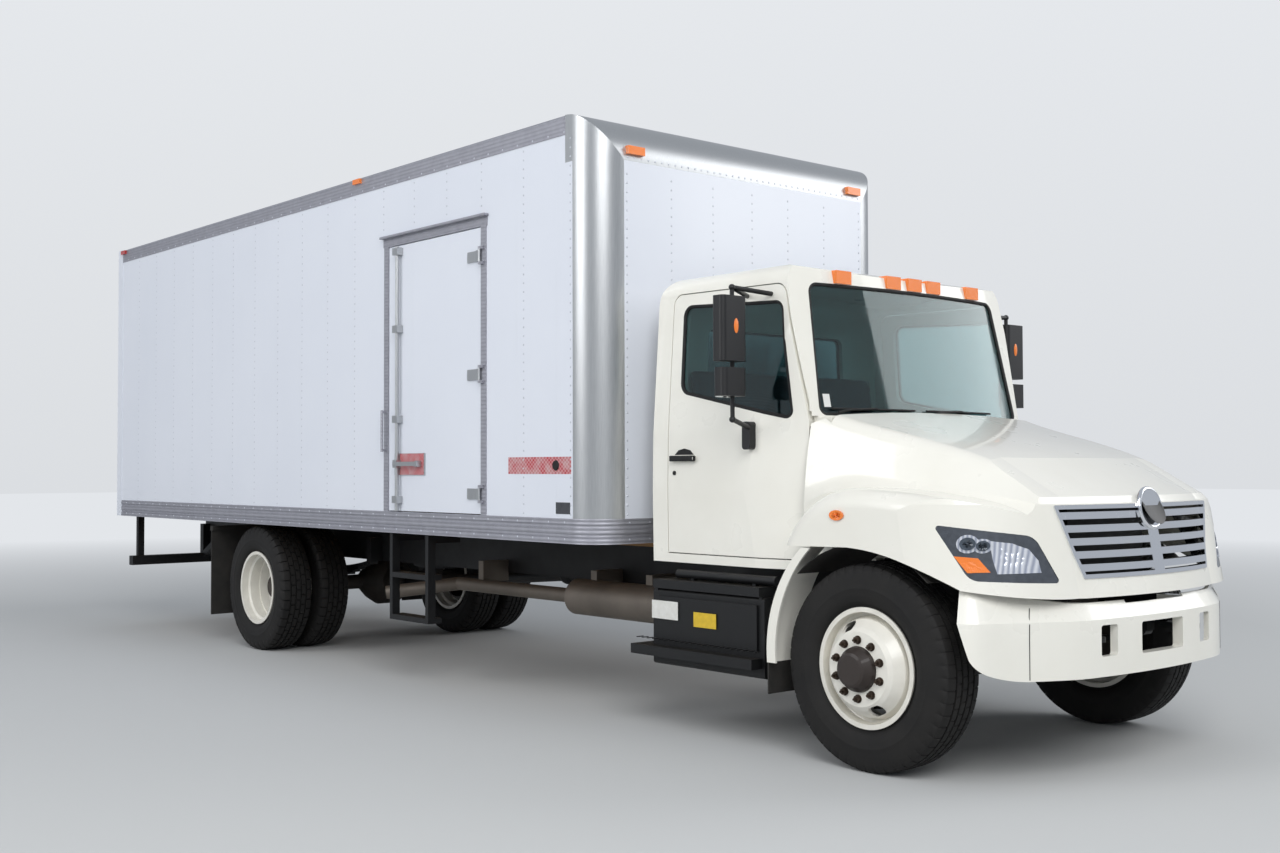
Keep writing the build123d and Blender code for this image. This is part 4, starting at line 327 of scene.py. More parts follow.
def finished(piece, material, body, slot, *replaced):
    """Turn a piece's faces outward, dress it, and fix it to the body that it rides on."""
    piece.data.materials.clear()
    piece.data.materials.append(material)
    picked(piece)
    bpy.ops.object.mode_set(mode="EDIT")
    bpy.ops.mesh.select_all(action="SELECT")
    bpy.ops.mesh.normals_make_consistent(inside=False)
    bpy.ops.object.mode_set(mode="OBJECT")
    bpy.ops.object.shade_smooth_by_angle(angle=radians(35))
    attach(piece, body)
    if replaced:
        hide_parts(*replaced)


nut_count = 10
bolt_circle = 0.143
# Columns: body, axle's y, side
for body, axle_y, side in [("front_wheel_right", front_axle_y, -1), ("front_wheel_left", front_axle_y, 1),
                           ("rear_wheels_right", rear_axle_y, -1), ("rear_wheels_left", rear_axle_y, 1)]:
    face_x = met(body, (side * 2, axle_y, hub_height + bolt_circle), (-side, 0, 0)).x
    nut = merged("nut", disc("flange", 0.021, 0.006, 16), disc("hexagon", 0.0175, 0.022, 6, 0.0165),
                 disc("stud", 0.0085, 0.038, 10, 0.006))
    axle = Matrix.Translation((face_x, axle_y, hub_height))
    turn = Matrix.Rotation(0 if side > 0 else pi, 4, "Z")
    outward = Matrix.Translation((0, 0, bolt_circle)) @ turn
    places = [axle @ Matrix.Rotation(2 * pi * at / nut_count, 4, "X") @ outward for at in range(nut_count)]
    finished(many("wheel_nuts_" + body, nut, places), nut_steel, body, "lock_steel")

# Tyres: moulded black rubber on the rims, dusty in patches, and twin ones at the rear.
# The front tread has four grooves and fine cuts, and the rear tread has rows of deep lugs.
tyre_rubber, tree, place = new_material("road_tyre_rubber")
dusting = noise(tree, place, 6.0, 6.0)
colour = mixed(tree, dusting, "#0d0d0e", "#211f1d")
surface(tree, {"Base Color": colour, "Roughness": 0.72, "Specular IOR Level": 0.35})
# Half of the section from the crown to the bead. Columns: x, radius, share of the notch depth, row of lugs
tyre_section = [
    (0.016, 0.5100, 1.0, 0), (0.0165, 0.4960, 0.0, 0), (0.0275, 0.4960, 0.0, 1), (0.0280, 0.5100, 1.0, 1),
    (0.0600, 0.5095, 1.0, 1), (0.0605, 0.4955, 0.0, 1), (0.0715, 0.4950, 0.0, 0), (0.0720, 0.5090, 1.0, 0),
    (0.0980, 0.5070, 1.0, 0), (0.1160, 0.5000, 1.0, 0), (0.1265, 0.4840, 0.8, 0), (0.1310, 0.4660, 0.3, 0),
    (0.1350, 0.4430, 0.0, 0), (0.1375, 0.4180, 0.0, 0), (0.1385, 0.3950, 0.0, 0), (0.1394, 0.3925, 0.0, 0),
    (0.1394, 0.3885, 0.0, 0), (0.1384, 0.3860, 0.0, 0), (0.1370, 0.3650, 0.0, 0), (0.1325, 0.3450, 0.0, 0),
    (0.1245, 0.3280, 0.0, 0), (0.1150, 0.3160, 0.0, 0), (0.1060, 0.3100, 0.0, 0), (0.1030, 0.3050, 0.0, 0),
    (0.1030, 0.2856, 0.0, 0)]
section = tyre_section + [(-x, radius, share, row) for x, radius, share, row in reversed(tyre_section)]
# Where the lugs' edges lie within one pitch. Columns: place in the pitch, row of lugs that is notched there
lug_edges = [(0.0, -1), (0.36, -1), (0.39, 1), (0.47, 1), (0.50, -1), (0.86, -1), (0.89, 0), (0.97, 0)]
# Columns: node, body, tread centres, axle's y, lugs round the tyre, notch depth
for node, body, centres, axle_y, lugs, depth in [
        ("front_tyre_right", "front_wheel_right", (-1.011,), front_axle_y, 52, 0.004),
        ("front_tyre_left", "front_wheel_left", (1.011,), front_axle_y, 52, 0.004),
        ("rear_tyres_right", "rear_wheels_right", (-1.102, -0.766), rear_axle_y, 40, 0.013),
        ("rear_tyres_left", "rear_wheels_left", (1.102, 0.766), rear_axle_y, 40, 0.013)]:
    points, faces = [], []
    for centre_x in centres:
        start = len(points)
        for lug in range(lugs):
            for edge, notched in lug_edges:
                turn = 2 * pi * (lug + edge) / lugs
                for x, radius, share, row in section:
                    reach = radius - depth * share * (row == notched)
                    points.append((centre_x + x, axle_y + reach * cos(turn), hub_height + reach * sin(turn)))
        count, rings = len(section), lugs * len(lug_edges)
        faces += [(start + ring * count + at, start + ring * count + (at + 1) % count,
                   start + (ring + 1) % rings * count + (at + 1) % count, start + (ring + 1) % rings * count + at)
                  for ring in range(rings) for at in range(count)]
    finished(meshed("treaded_" + node, points, faces), tyre_rubber, body, "tyre", node)

# Mudflaps: moulded black rubber sheets, hung behind the wheels.
# Dried road water greys them in patches.
flap_rubber, tree, place = new_material("moulded_sheet_rubber")
marks = noise(tree, place, 12.0, 5.0)
colour = mixed(tree, marks, "#141414", "#33302c")
surface(tree, {"Base Color": colour, "Roughness": 0.8})
give(flap_rubber, "mudflaps")

# Cab, doors, hood, mudguards and bumper: pressed steel and moulded panels in gloss white enamel.
# The cab stands on the frame by rubber mounts, and the hood and doors turn on hinges.
white_enamel, tree, place = new_material("gloss_white_cab_enamel")
# Orange peel, with waves of about 4 mm, and a faint film of dust in patches of about 0.3 m
peel = noise(tree, place, 240.0, 1.0)
film = noise(tree, place, 3.2, 5.0)
colour = mixed(tree, film, "#f1efe6", "#e6e3d8")
rough = ranged(tree, film, (0.0, 1.0), (0.22, 0.36))
relief = bump(tree, peel, 0.03, 0.001)
surface(tree, {"Base Color": colour, "Roughness": rough, "Normal": relief, "Coat Weight": 0.6,
               "Coat Roughness": 0.06})
give(white_enamel, "cab_shell", "cab_door_right", "cab_door_left", "hood", "front_bumper", "front_mudguards")

# Windows: laminated glass with a light blue-green tint, held in the frames by rubber seals.
# A thin film of dust lies on it in patches.
window_glass, tree, place = new_material("tinted_laminated_glass")
film = noise(tree, place, 5.0, 7.0)
rough = ranged(tree, film, (0.4, 0.8), (0.01, 0.09))
surface(tree, {"Base Color": linear("#8fb0b2"), "Roughness": rough, "IOR": 1.5, "Transmission Weight": 1.0})
give(window_glass, "cab_glass", "door_glass_right", "door_glass_left")

# Window seals: extruded black rubber lips, pressed in between each pane and its frame.
# They run round the windshield, the rear window and both door windows, about 25 mm wide.
seal_rubber, tree, place = new_material("extruded_black_rubber")
bloom = noise(tree, place, 25.0, 5.0)
colour = mixed(tree, bloom, "#0c0c0d", "#242424")
surface(tree, {"Base Color": colour, "Roughness": 0.6, "Specular IOR Level": 0.35})


def tube(name, points, radius, closed=False):
    """A round bar along a line of points."""
    line = bpy.data.curves.new(name, "CURVE")
    line.dimensions = "3D"
    line.bevel_depth = radius
    line.bevel_resolution = 2
    line.use_fill_caps = True
    spline = line.splines.new("POLY")
    spline.points.add(len(points) - 1)
    for corner, point in zip(spline.points, points):
        corner.co = (*point, 1)
    spline.use_cyclic_u = closed
    piece = bpy.data.objects.new(name, line)
    bpy.context.scene.collection.objects.link(piece)
    picked(piece)
    bpy.ops.object.convert(target="MESH")
    return bpy.context.active_object


def rims(node, looks_out):
    """The closed edge lines of the faces of a CAD node that look outward."""
    mesh = nodes[node].data
    uses = {}
    for face in mesh.polygons:
        if looks_out(face.normal, face.center):
            corners = [tuple(round(value, 4) for value in mesh.vertices[at].co) for at in face.vertices]
            for start, end in zip(corners, corners[1:] + corners[:1]):
                uses[frozenset((start, end))] = uses.get(frozenset((start, end)), 0) + 1
    sides = sorted(tuple(sorted(pair)) for pair, times in uses.items() if times == 1 and len(pair) == 2)
    lines = []
    while sides:
        line = list(sides.pop())
        onward = True
        while onward:
            onward = next((pair for pair in sides if line[-1] in pair), None)
            if onward:
                sides.remove(onward)
                line.append(onward[0] if onward[1] == line[-1] else onward[1])
        lines.append(line[:-1])
    return lines


seal_radius = 0.0125
mid_cab_y = -3.0
# Columns: name, node, body, the axis and side that the pane looks to
for name, node, body, axis, toward in [
        ("windshield_seal", "cab_glass", "truck", 1, -1), ("rear_window_seal", "cab_glass", "truck", 1, 1),
        ("door_seal_right", "door_glass_right", "cab_door_right", 0, -1),
        ("door_seal_left", "door_glass_left", "cab_door_left", 0, 1)]:
    loops = rims(node, lambda normal, middle: normal[axis] * toward > 0.6
                 and (body != "truck" or (middle.y - mid_cab_y) * toward > 0))
    seal = tube(name, max(loops, key=len), seal_radius, closed=True)
    finished(seal, seal_rubber, body, "mirror_plastic")

# Wipers: two black arms with rubber blades, parked along the foot of the windshield.
# Each arm is held by a splined shaft that comes up through the cowl.
wipers = []
blade_z = 1.806
blade_steps = 8
blade_lift = Vector((0, -0.014, 0))
# Columns: x of the shaft, x where the blade starts, x where it ends
for shaft_x, start_x, end_x in [(-0.78, -0.80, -0.18), (-0.06, -0.08, 0.56)]:
    spots = [start_x + (end_x - start_x) * step / blade_steps for step in range(blade_steps + 1)]
    line = [met("cab_glass", (x, -6, blade_z), (0, 1, 0)) + blade_lift for x in spots]
    wipers.append(tube("blade", line, 0.006))
    arm = [Vector((shaft_x, line[0].y - 0.03, 1.786)), Vector((shaft_x + 0.1, line[1].y - 0.022, 1.802)),
           line[4] + Vector((0, -0.012, 0.004))]
    wipers.append(tube("arm", arm, 0.007))
finished(merged("wipers", *wipers), seal_rubber, "truck", "mirror_plastic")

# Door handles: black moulded pulls, screwed to the doors from inside.
# Each has a thin black skin above it, painted shade for its recess, and a round keyhole below.


def shaped(piece, kind, **settings):
    """Add a modifier with these settings to a piece and apply it."""
    modifier = picked(piece).modifiers.new(kind, kind)
    for name, value in settings.items():
        setattr(modifier, name, value)
    bpy.ops.object.modifier_apply(modifier=modifier.name)
    return piece


def boxes(name, rows, round_by=0.0):
    """One piece of upright boxes. Each row holds a box's low corner and its high corner."""
    points, faces = [], []
    for low, high in rows:
        start = len(points)
        points += [(x, y, z) for x in (low[0], high[0]) for y in (low[1], high[1]) for z in (low[2], high[2])]
        faces += [[start + at for at in face] for face in
                  ((0, 1, 3, 2), (4, 6, 7, 5), (0, 4, 5, 1), (2, 3, 7, 6), (0, 2, 6, 4), (1, 5, 7, 3))]
    piece = meshed(name, points, faces)
    return shaped(piece, "BEVEL", width=round_by, segments=2, limit_method="ANGLE") if round_by else piece


def patch(name, node, side, outline, lift):
    """A thin skin on a CAD node: (y, z) corners, and rings inside them, cast on to it from one side."""
    rings = 3
    parts = 6
    corners = [Vector(start).lerp(Vector(end), part / parts)
               for start, end in zip(outline, outline[1:] + outline[:1]) for part in range(parts)]
    middle = sum(corners, Vector((0, 0))) / len(corners)
    spots = [middle] + [middle.lerp(corner, ring / rings) for ring in range(1, rings + 1) for corner in corners]
    points = []
    for y, z in spots:
        _, point, normal, _ = nodes[node].ray_cast(Vector((side * 2, y, z)), Vector((-side, 0, 0)), distance=2.0)
        points.append(point + normal * lift)
    count = len(corners)
    faces = [(0, 1 + at, 1 + (at + 1) % count) for at in range(count)]
    faces += [(1 + ring * count + at, 1 + ring * count + (at + 1) % count, 1 + (ring + 1) * count + (at + 1) % count,
               1 + (ring + 1) * count + at) for ring in range(rings - 1) for at in range(count)]
    return shaped(meshed(name, points, faces), "SOLIDIFY", thickness=lift * 1.2, offset=0.0)


# Columns: y, z
recess_shade_outline = [(-2.83, 1.566), (-2.67, 1.566), (-2.70, 1.592), (-2.75, 1.602), (-2.80, 1.592)]
lock_depth = 0.006
for side, word in [(-1, "right"), (1, "left")]:
    inner_x, outer_x = sorted((side * 1.0142, side * 1.0405))
    grip = boxes("grip", [((inner_x, -2.8515, 1.5285), (outer_x, -2.6480, 1.5615))], 0.006)
    # Painted shade: a flat black skin on the door where the recess falls dark
    painted_recess_shade = patch("painted_recess_shade", "cab_door_" + word, side, recess_shade_outline, 0.0012)
    key_lock = disc("key_lock", 0.012, lock_depth, 20)
    key_lock.data.transform(Matrix.Translation((side * 1.0135 - (lock_depth if side < 0 else 0), -2.6695, 1.462)))
    handle = merged("door_handle_" + word, grip, painted_recess_shade, key_lock)
    finished(handle, seal_rubber, "cab_door_" + word, "mirror_plastic")

# Cab inside: a dashboard and a steering wheel moulded in grained dark plastic.
# The dashboard is screwed to the firewall.
trim_plastic, tree, place = new_material("grained_dark_plastic")
grain = add(tree, "ShaderNodeTexVoronoi", {}, {"Vector": place, "Scale": 500.0})
relief = bump(tree, grain.outputs[0], 0.4, 0.0005)
surface(tree, {"Base Color": linear("#3a3b3d"), "Roughness": 0.6, "Normal": relief})
give(trim_plastic, "dashboard", "steering_wheel")

# Mirror heads and arms: black moulded housings on steel tubes, clamped to the doors.
# Their skin has a fine moulded grain.
mirror_plastic, tree, place = new_material("black_moulded_housing")
grain = noise(tree, place, 420.0)
relief = bump(tree, grain, 0.15, 0.0005)
surface(tree, {"Base Color": linear("#141416"), "Roughness": 0.42, "Normal": relief})
give(mirror_plastic, "mirror_right", "mirror_left")

# Seats: foam cushions and backs in woven grey cloth, sewn in three panels, on black steel pedestals.
# A driver's seat and a wider passenger seat.
seat_cloth, tree, place = new_material("woven_seat_cloth")
# Threads cross about every 3 mm
threads = {"Vector": place, "Scale": 105.0}
across = add(tree, "ShaderNodeTexWave", {"wave_type": "BANDS", "bands_direction": "X"}, threads)
along = add(tree, "ShaderNodeTexWave", {"wave_type": "BANDS", "bands_direction": "Y"}, threads)
weave = maths(tree, "MULTIPLY", across.outputs["Fac"], along.outputs["Fac"])
fade = noise(tree, place, 12.0, 5.0)
worn_weave = maths(tree, "MULTIPLY", weave, fade)
colour = mixed(tree, worn_weave, "#3c3f46", "#7d818a")
relief = bump(tree, weave, 0.4, 0.001)
surface(tree, {"Base Color": colour, "Roughness": 0.9, "Normal": relief, "Specular IOR Level": 0.2})
# A channel lies at this share of the half width, on each side
channel_place, channel_reach, channel_depth = 0.4, 0.08, 0.014
crown = 0.022
# Columns: name, width, depth, thickness, centre, lean in degrees
for name, width, depth, thickness, centre, lean in [
        ("driver_cushion", 0.54, 0.44, 0.15, (0.48, -2.925, 1.385), 4),
        ("driver_back", 0.54, 0.60, 0.11, (0.48, -2.650, 1.765), 98),
        ("passenger_cushion", 0.80, 0.44, 0.15, (-0.42, -2.925, 1.385), 4),
        ("passenger_back", 0.80, 0.60, 0.11, (-0.42, -2.650, 1.765), 98)]:
    bpy.ops.mesh.primitive_cube_add(size=2)
    pad = bpy.context.active_object
    pad.name = name
    bpy.ops.object.mode_set(mode="EDIT")
    bpy.ops.mesh.select_all(action="SELECT")
    bpy.ops.mesh.subdivide(number_cuts=15)
    bpy.ops.object.mode_set(mode="OBJECT")
    for corner in pad.data.vertices:
        across, along, up = corner.co
        swell = (1 - across ** 4) * (1 - along ** 4)
        channel = max(0.0, 1 - abs(abs(across) - channel_place) / channel_reach) * (1 - along ** 4)
        pull = 1 - 0.05 * up * up
        corner.co = (across * width / 2 * pull, along * depth / 2 * pull,
                     up * (thickness / 2 - crown + crown * swell - channel_depth * channel * (up > 0.5)))
    pad.data.transform(Matrix.Translation(centre) @ Matrix.Rotation(radians(-lean), 4, "X"))
    shaped(pad, "SUBSURF", levels=1)
    finished(pad, seat_cloth, "truck", "seat_cloth")
pedestals = boxes("seat_pedestals", [((0.26, -3.10, 1.051), (0.70, -2.72, 1.31)),
                                     ((-0.76, -3.10, 1.051), (-0.08, -2.72, 1.31))], 0.02)
finished(pedestals, chassis_paint, "truck", "seat_cloth", "seats")

# Hood seals: black rubber bulbs in the gap between the hood's rear edge and the doors.
# Each is clipped to the cab, and its place is taken from the door's skin.
for side, word in [(-1, "right"), (1, "left")]:
    inward = Vector((-side * 0.008, -0.0215, 0))
    line = [met("cab_door_" + word, (side * 2, front_axle_y + 0.545, z), (-side, 0, 0)) + inward
            for z in (1.10, 1.20, 1.32, 1.42, 1.52, 1.62, 1.71)]
    finished(tube("hood_seal_" + word, line, 0.0065), seal_rubber, "truck", "mirror_plastic")

# Wheel-arch liners: black moulded sheets bent round the front wheels.
# They are clipped inside the hood's fenders, and tilt with them.
liner_radius = 0.605
liner_steps = 16
first_angle, arc_angle = 47, 86
for side, word in [(-1, "right"), (1, "left")]:
    turns = [radians(first_angle + arc_angle * step / liner_steps) for step in range(liner_steps + 1)]
    edge = [(front_axle_y - liner_radius * cos(turn), hub_height + liner_radius * sin(turn)) for turn in turns]
    points = [(side * x, y, z) for x in (0.66, 1.165) for y, z in edge]
    count = len(edge)
    faces = [(at, at + 1, at + 1 + count, at + count) for at in range(liner_steps)]
    liner = shaped(meshed("arch_liner_" + word, points, faces), "SOLIDIFY", thickness=0.003)
    finished(liner, flap_rubber, "hood", "flap_rubber")

# Mirror glass: on each head's rear face a tall silvered pane, over a lower wide-angle one.
# Both are bonded to the housing, and stand 3 mm proud of it.
silvered, tree, place = new_material("silvered_mirror_glass")
specks = noise(tree, place, 90.0, 4.0)
rough = ranged(tree, specks, (0.0, 1.0), (0.01, 0.05))
surface(tree, {"Base Color": linear("#d4dadc"), "Metallic": 1.0, "Roughness": rough})
mirror_x = 1.255
half_width = 0.072
for side, word in [(-1, "right"), (1, "left")]:
    head_x = side * mirror_x
    panes = []
    # Columns: middle height and half height of each pane
    for middle, half in [(2.235, 0.135), (1.935, 0.07)]:
        back_y = met("mirror_" + word, (head_x, -2, middle), (0, -1, 0)).y
        panes.append(((head_x - half_width, back_y - 0.001, middle - half),
                      (head_x + half_width, back_y + 0.003, middle + half)))
    finished(boxes("mirror_panes_" + word, panes, 0.0015), silvered, "cab_door_" + word, "mirror_plastic")

# Grille: chromed moulded bars that snap into the hood, with a dark dished disc in the plain ring at the top.
# Fine water marks dull the chrome.
chrome, tree, place = new_material("chromed_plastic")
marks = noise(tree, place, 50.0, 6.0)
rough = ranged(tree, marks, (0.3, 0.8), (0.04, 0.16))
surface(tree, {"Base Color": linear("#e6e8ec"), "Metallic": 1.0, "Roughness": rough})
give(chrome, "grille")


def turned(name, profile, steps):
    """A piece turned round the X axis from a closed profile of (x, radius) corners."""
    count = len(profile)
    points = [(x, radius * cos(2 * pi * step / steps), radius * sin(2 * pi * step / steps))
              for step in range(steps) for x, radius in profile]
    faces = [(step * count + at, step * count + (at + 1) % count, (step + 1) % steps * count + (at + 1) % count,
              (step + 1) % steps * count + at) for step in range(steps) for at in range(count)]
    return meshed(name, points, faces)


ring_middle = met("grille", (0, -7, 1.287), (0, 1, 0)) + Vector((0, -0.0045, 0))
dish_lean = radians(-26)
dish = turned("ring_dish", [(0.0, 0.0001), (-0.002, 0.060), (0.004, 0.088), (0.006, 0.088), (0.000, 0.060)], 40)
dish.data.transform(Matrix.Translation(ring_middle) @ Matrix.Rotation(dish_lean, 4, "X")
                    @ Matrix.Rotation(-pi / 2, 4, "Z"))
finished(dish, mirror_plastic, "hood", "grille_chrome")

# Headlamps: moulded units screwed into the hood's nose, each with a smoked frame round two round glass units.
# A bright reflector and an amber turn lamp fill the rest. All of it is laid on the lamp's body from its side.
lamp_frame, tree, place = new_material("smoked_chrome_lamp_frame")
haze = noise(tree, place, 40.0, 3.0)
colour = mixed(tree, haze, "#43474d", "#6b7078")
surface(tree, {"Base Color": colour, "Roughness": 0.22, "Metallic": 0.75, "Coat Weight": 1.0, "Coat Roughness": 0.03})
give(lamp_frame, "headlamps")
reflector, tree, place = new_material("fluted_silver_reflector")
# Upright flutes about 16 mm wide throw the light sideways. Their relief is real, and the pale and grey-blue bands
# that they give the colour are painted sheen
flutes_and_painted_sheen = add(tree, "ShaderNodeTexWave", {"wave_type": "BANDS", "bands_direction": "Y", "wave_profile": "SIN"},
             {"Vector": place, "Scale": 20.0, "Distortion": 1.5, "Detail": 1.0, "Detail Scale": 0.4})
colour = mixed(tree, flutes_and_painted_sheen.outputs["Fac"], "#aeb4c4", "#f4f6fb")
relief = bump(tree, flutes_and_painted_sheen.outputs["Fac"], 0.5, 0.004)
surface(tree, {"Base Color": colour, "Roughness": 0.12, "Metallic": 0.55, "Coat Weight": 1.0,
               "Coat Roughness": 0.03, "Normal": relief})
amber, tree, place = new_material("amber_acrylic_lens")
# Small moulded prisms, 6 mm apart, and red lenses at the body's rear end
prisms = add(tree, "ShaderNodeTexVoronoi", {}, {"Vector": place, "Scale": 160.0, "Randomness": 0.2})
along = add(tree, "ShaderNodeSeparateXYZ", {}, {"Vector": place})
rear = maths(tree, "GREATER_THAN", along.outputs["Y"], 4.0)
colour = mixed(tree, rear, "#f2802c", "#b3150f")
relief = bump(tree, prisms.outputs["Distance"], 0.5, 0.002)
surface(tree, {"Base Color": colour, "Roughness": 0.16, "Normal": relief, "Coat Weight": 0.6})
glass_unit, tree, place = new_material("dark_projector_glass")
tint = noise(tree, place, 30.0)
colour = mixed(tree, tint, "#1a1f26", "#5a6673")
surface(tree, {"Base Color": colour, "Roughness": 0.04, "Coat Weight": 1.0, "Metallic": 0.3})
circle_corners = 14
circle = [(cos(2 * pi * at / circle_corners), sin(2 * pi * at / circle_corners)) for at in range(circle_corners)]
# Columns: y, z
reflector_outline = [(-4.832, 1.152), (-4.900, 1.140), (-4.944, 1.112), (-4.970, 1.060), (-4.982, 1.004),
                     (-4.868, 1.000), (-4.850, 1.060)]
turn_outline = [(-4.708, 1.080), (-4.800, 1.072), (-4.846, 1.008), (-4.765, 1.004)]
side_outline = [(-4.058 + 0.046 * y, 1.256 + 0.026 * z) for y, z in circle]
for side, word in [(-1, "right"), (1, "left")]:
    silver = patch("reflector", "headlamps", side, reflector_outline, 0.002)
    units = []
    # Columns: y, z and radius of each round unit
    for unit_y, unit_z, radius in [(-4.758, 1.137, 0.043), (-4.812, 1.128, 0.034)]:
        # Columns: share of the unit's radius, lift. A wide ring lies under a smaller dome
        for share, lift in [(1.0, 0.003), (0.7, 0.009)]:
            outline = [(unit_y + y * radius * share, unit_z + z * radius * share) for y, z in circle]
            units.append(patch("unit", "headlamps", side, outline, lift))
    domes = merged("lamp_domes_" + word, units[1], units[3])
    finished(merged("lamp_reflectors_" + word, silver, units[0], units[2]), reflector, "hood", "lamp_glass")
    finished(domes, glass_unit, "hood", "lamp_glass")
    turn_lamp = patch("turn_lamp_" + word, "headlamps", side, turn_outline, 0.0025)
    finished(turn_lamp, amber, "hood", "lamp_plastic")
    finished(patch("side_lamp_" + word, "hood", side, side_outline, 0.005), amber, "hood", "lamp_plastic")
    # An amber oval on the front face of the upper mirror head
    front = met("mirror_" + word, (side * mirror_x, -5, 2.24), (0, 1, 0))
    bpy.ops.mesh.primitive_uv_sphere_add(segments=20, ring_count=10, radius=1)
    oval = bpy.context.active_object
    oval.name = "mirror_lamp_" + word
    oval.data.transform(Matrix.Translation(front) @ Matrix.Diagonal((0.017, 0.006, 0.040, 1)))
    finished(oval, amber, "cab_door_" + word, "lamp_plastic")

# Marker lamps: moulded lenses screwed to the cab's roof and to the box.
# They are amber on the cab and on the box's front and middle, and red at its rear.
give(amber, "marker_lamps")

# Bumper joints: a thin black line where each end cap meets the middle piece, painted shade for the gap between them.
# Columns: |x|, z
seam_line = [(0.885, 0.512), (0.885, 0.62), (0.885, 0.70), (0.884, 0.765), (0.872, 0.800), (0.850, 0.838)]
seam_sink = Vector((0, 0.0005, 0))
# Painted shade: a thin black tube along each joint
bumper_seam_shade = [tube("seam", [met("front_bumper", (side * x, -7, z), (0, 1, 0)) + seam_sink for x, z in seam_line],
                     0.0025) for side in (-1, 1)]
finished(merged("bumper_seam_shade", *bumper_seam_shade), seal_rubber, "truck", "bumper_paint")

# Side step: raised bars pressed in the steel tread under the battery box.
# They stop a boot from slipping.
step_low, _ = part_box("battery_box")
bar_ys = [step_low.y + 0.03 + 0.045 * at for at in range(22)]
bars = [((step_low.x + 0.006, y, 0.519), (step_low.x + 0.052, y + 0.012, 0.523)) for y in bar_ys]
finished(boxes("step_tread_bars", bars), chassis_paint, "truck", "black_paint")

# Roll-up door hardware: zinc-coated steel hinges riveted across every slat joint.
# A lock plate with its upright handle is bolted to the lowest slats.
galvanised, tree, place = new_material("galvanised_hinge_steel")
# Zinc flowers about 8 mm wide
flowers = add(tree, "ShaderNodeTexVoronoi", {}, {"Vector": place, "Scale": 120.0})
colour = mixed(tree, flowers.outputs["Distance"], "#8f9296", "#b9bcbf")
surface(tree, {"Base Color": colour, "Roughness": 0.42, "Metallic": 0.85})
door_low, door_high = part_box("roll_up_door")
slats = 8
hinge_half_width, hinge_half_height = 0.03, 0.028
face_y = met("roll_up_door", (0.6, 8, 1.3), (0, -1, 0)).y
joint_heights = [door_low.z + (door_high.z - door_low.z) * slat / slats for slat in range(1, slats)]
rows = [((x - hinge_half_width, face_y - 0.0005, z - hinge_half_height),
         (x + hinge_half_width, face_y + 0.004, z + hinge_half_height))
        for z in joint_heights for x in (-1.12, -0.56, 0.0, 0.56, 1.12)]
rows += [((-0.16, face_y - 0.0005, 1.43), (0.16, face_y + 0.006, 1.51)),
         ((-0.02, face_y, 1.40), (0.02, face_y + 0.016, 1.54))]
finished(boxes("roll_up_hinges", rows, 0.0015), galvanised, "truck", "wall_paint")

# Rear lamps: three round red lenses at each end of the rear frame's sill.
# Each is pressed into a black rubber grommet. The lenses end 0.2 mm inside the sill's face, so it hides them.
_, rear_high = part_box("rear_frame")
lamp_z = 1.112
sill_y = met("rear_frame", (0.98, 8, lamp_z), (0, -1, 0)).y
lamp_y = min(sill_y - 0.0004, rear_high.y - 0.0042)
backward = Matrix.Rotation(pi / 2, 4, "Z")
red_lenses, grommets = [], []
for x in (-0.86, -0.98, -1.10, 0.86, 0.98, 1.10):
    red_lenses.append(disc("lens", 0.043, 0.004, 28, 0.036))
    red_lenses[-1].data.transform(Matrix.Translation((x, lamp_y, lamp_z)) @ backward)
    grommets.append(disc("grommet", 0.052, 0.0025, 28))
    grommets[-1].data.transform(Matrix.Translation((x, lamp_y - 0.0008, lamp_z)) @ backward)
finished(merged("rear_lamps", *red_lenses), amber, "truck", "lamp_plastic")
finished(merged("rear_lamp_grommets", *grommets), seal_rubber, "truck", "mirror_plastic")

# Windshield sticker: a small blank white paper label in the lower right corner of the glass.
# It is glued on, and has nothing printed.
sticker, tree, place = new_material("blank_paper_label")
fibre = noise(tree, place, 300.0, 3.0)
colour = mixed(tree, fibre, "#e9e9e6", "#d4d4cf")
surface(tree, {"Base Color": colour, "Roughness": 0.6})
label_lift = Vector((0, -0.0008, 0))
corners = [met("cab_glass", (x, -6, z), (0, 1, 0)) + label_lift
           for x, z in [(-0.835, 1.815), (-0.790, 1.815), (-0.790, 1.885), (-0.835, 1.885)]]
label = shaped(meshed("windshield_label", corners, [(0, 1, 2, 3)]), "SOLIDIFY", thickness=0.0006)
finished(label, sticker, "truck", "window_glass")

# Cargo walls and doors: white coated aluminium sheets, riveted to posts inside.
# The roll-up door and the rear frame have the same white coat.
wall_sheet, tree, place = new_material("white_coated_aluminium_sheet")
film = noise(tree, place, 0.8, 6.0)
colour = mixed(tree, film, "#e4e7ee", "#d9dde6")
# The sheets lap by about 40 mm at every seam, with an edge 1 mm high
first_seam, seam_pitch, lap_share = front_axle_y + 3.06, 0.4089, 0.1
along = add(tree, "ShaderNodeSeparateXYZ", {}, {"Vector": place})
from_seam = maths(tree, "ADD", along.outputs["Y"], 1.1395)
pitches = maths(tree, "DIVIDE", from_seam, seam_pitch)
lap = maths(tree, "LESS_THAN", maths(tree, "FRACT", pitches), lap_share)
relief = bump(tree, lap, 0.6, 0.001)
surface(tree, {"Base Color": colour, "Roughness": 0.3, "Coat Weight": 0.3, "Coat Roughness": 0.1, "Normal": relief})
give(wall_sheet, "cargo_wall_left", "cargo_wall_right", "cargo_front_wall", "side_door", "roll_up_door", "rear_frame")

# Rails, side door frame and roof: extruded and rolled aluminium, dulled by weather.
# They are screwed along the walls' edges.
rail_metal, tree, place = new_material("weathered_aluminium_extrusion")
streak = noise(tree, place, 18.0, 6.0)
colour = mixed(tree, streak, "#9a9aa2", "#b2b2ba")
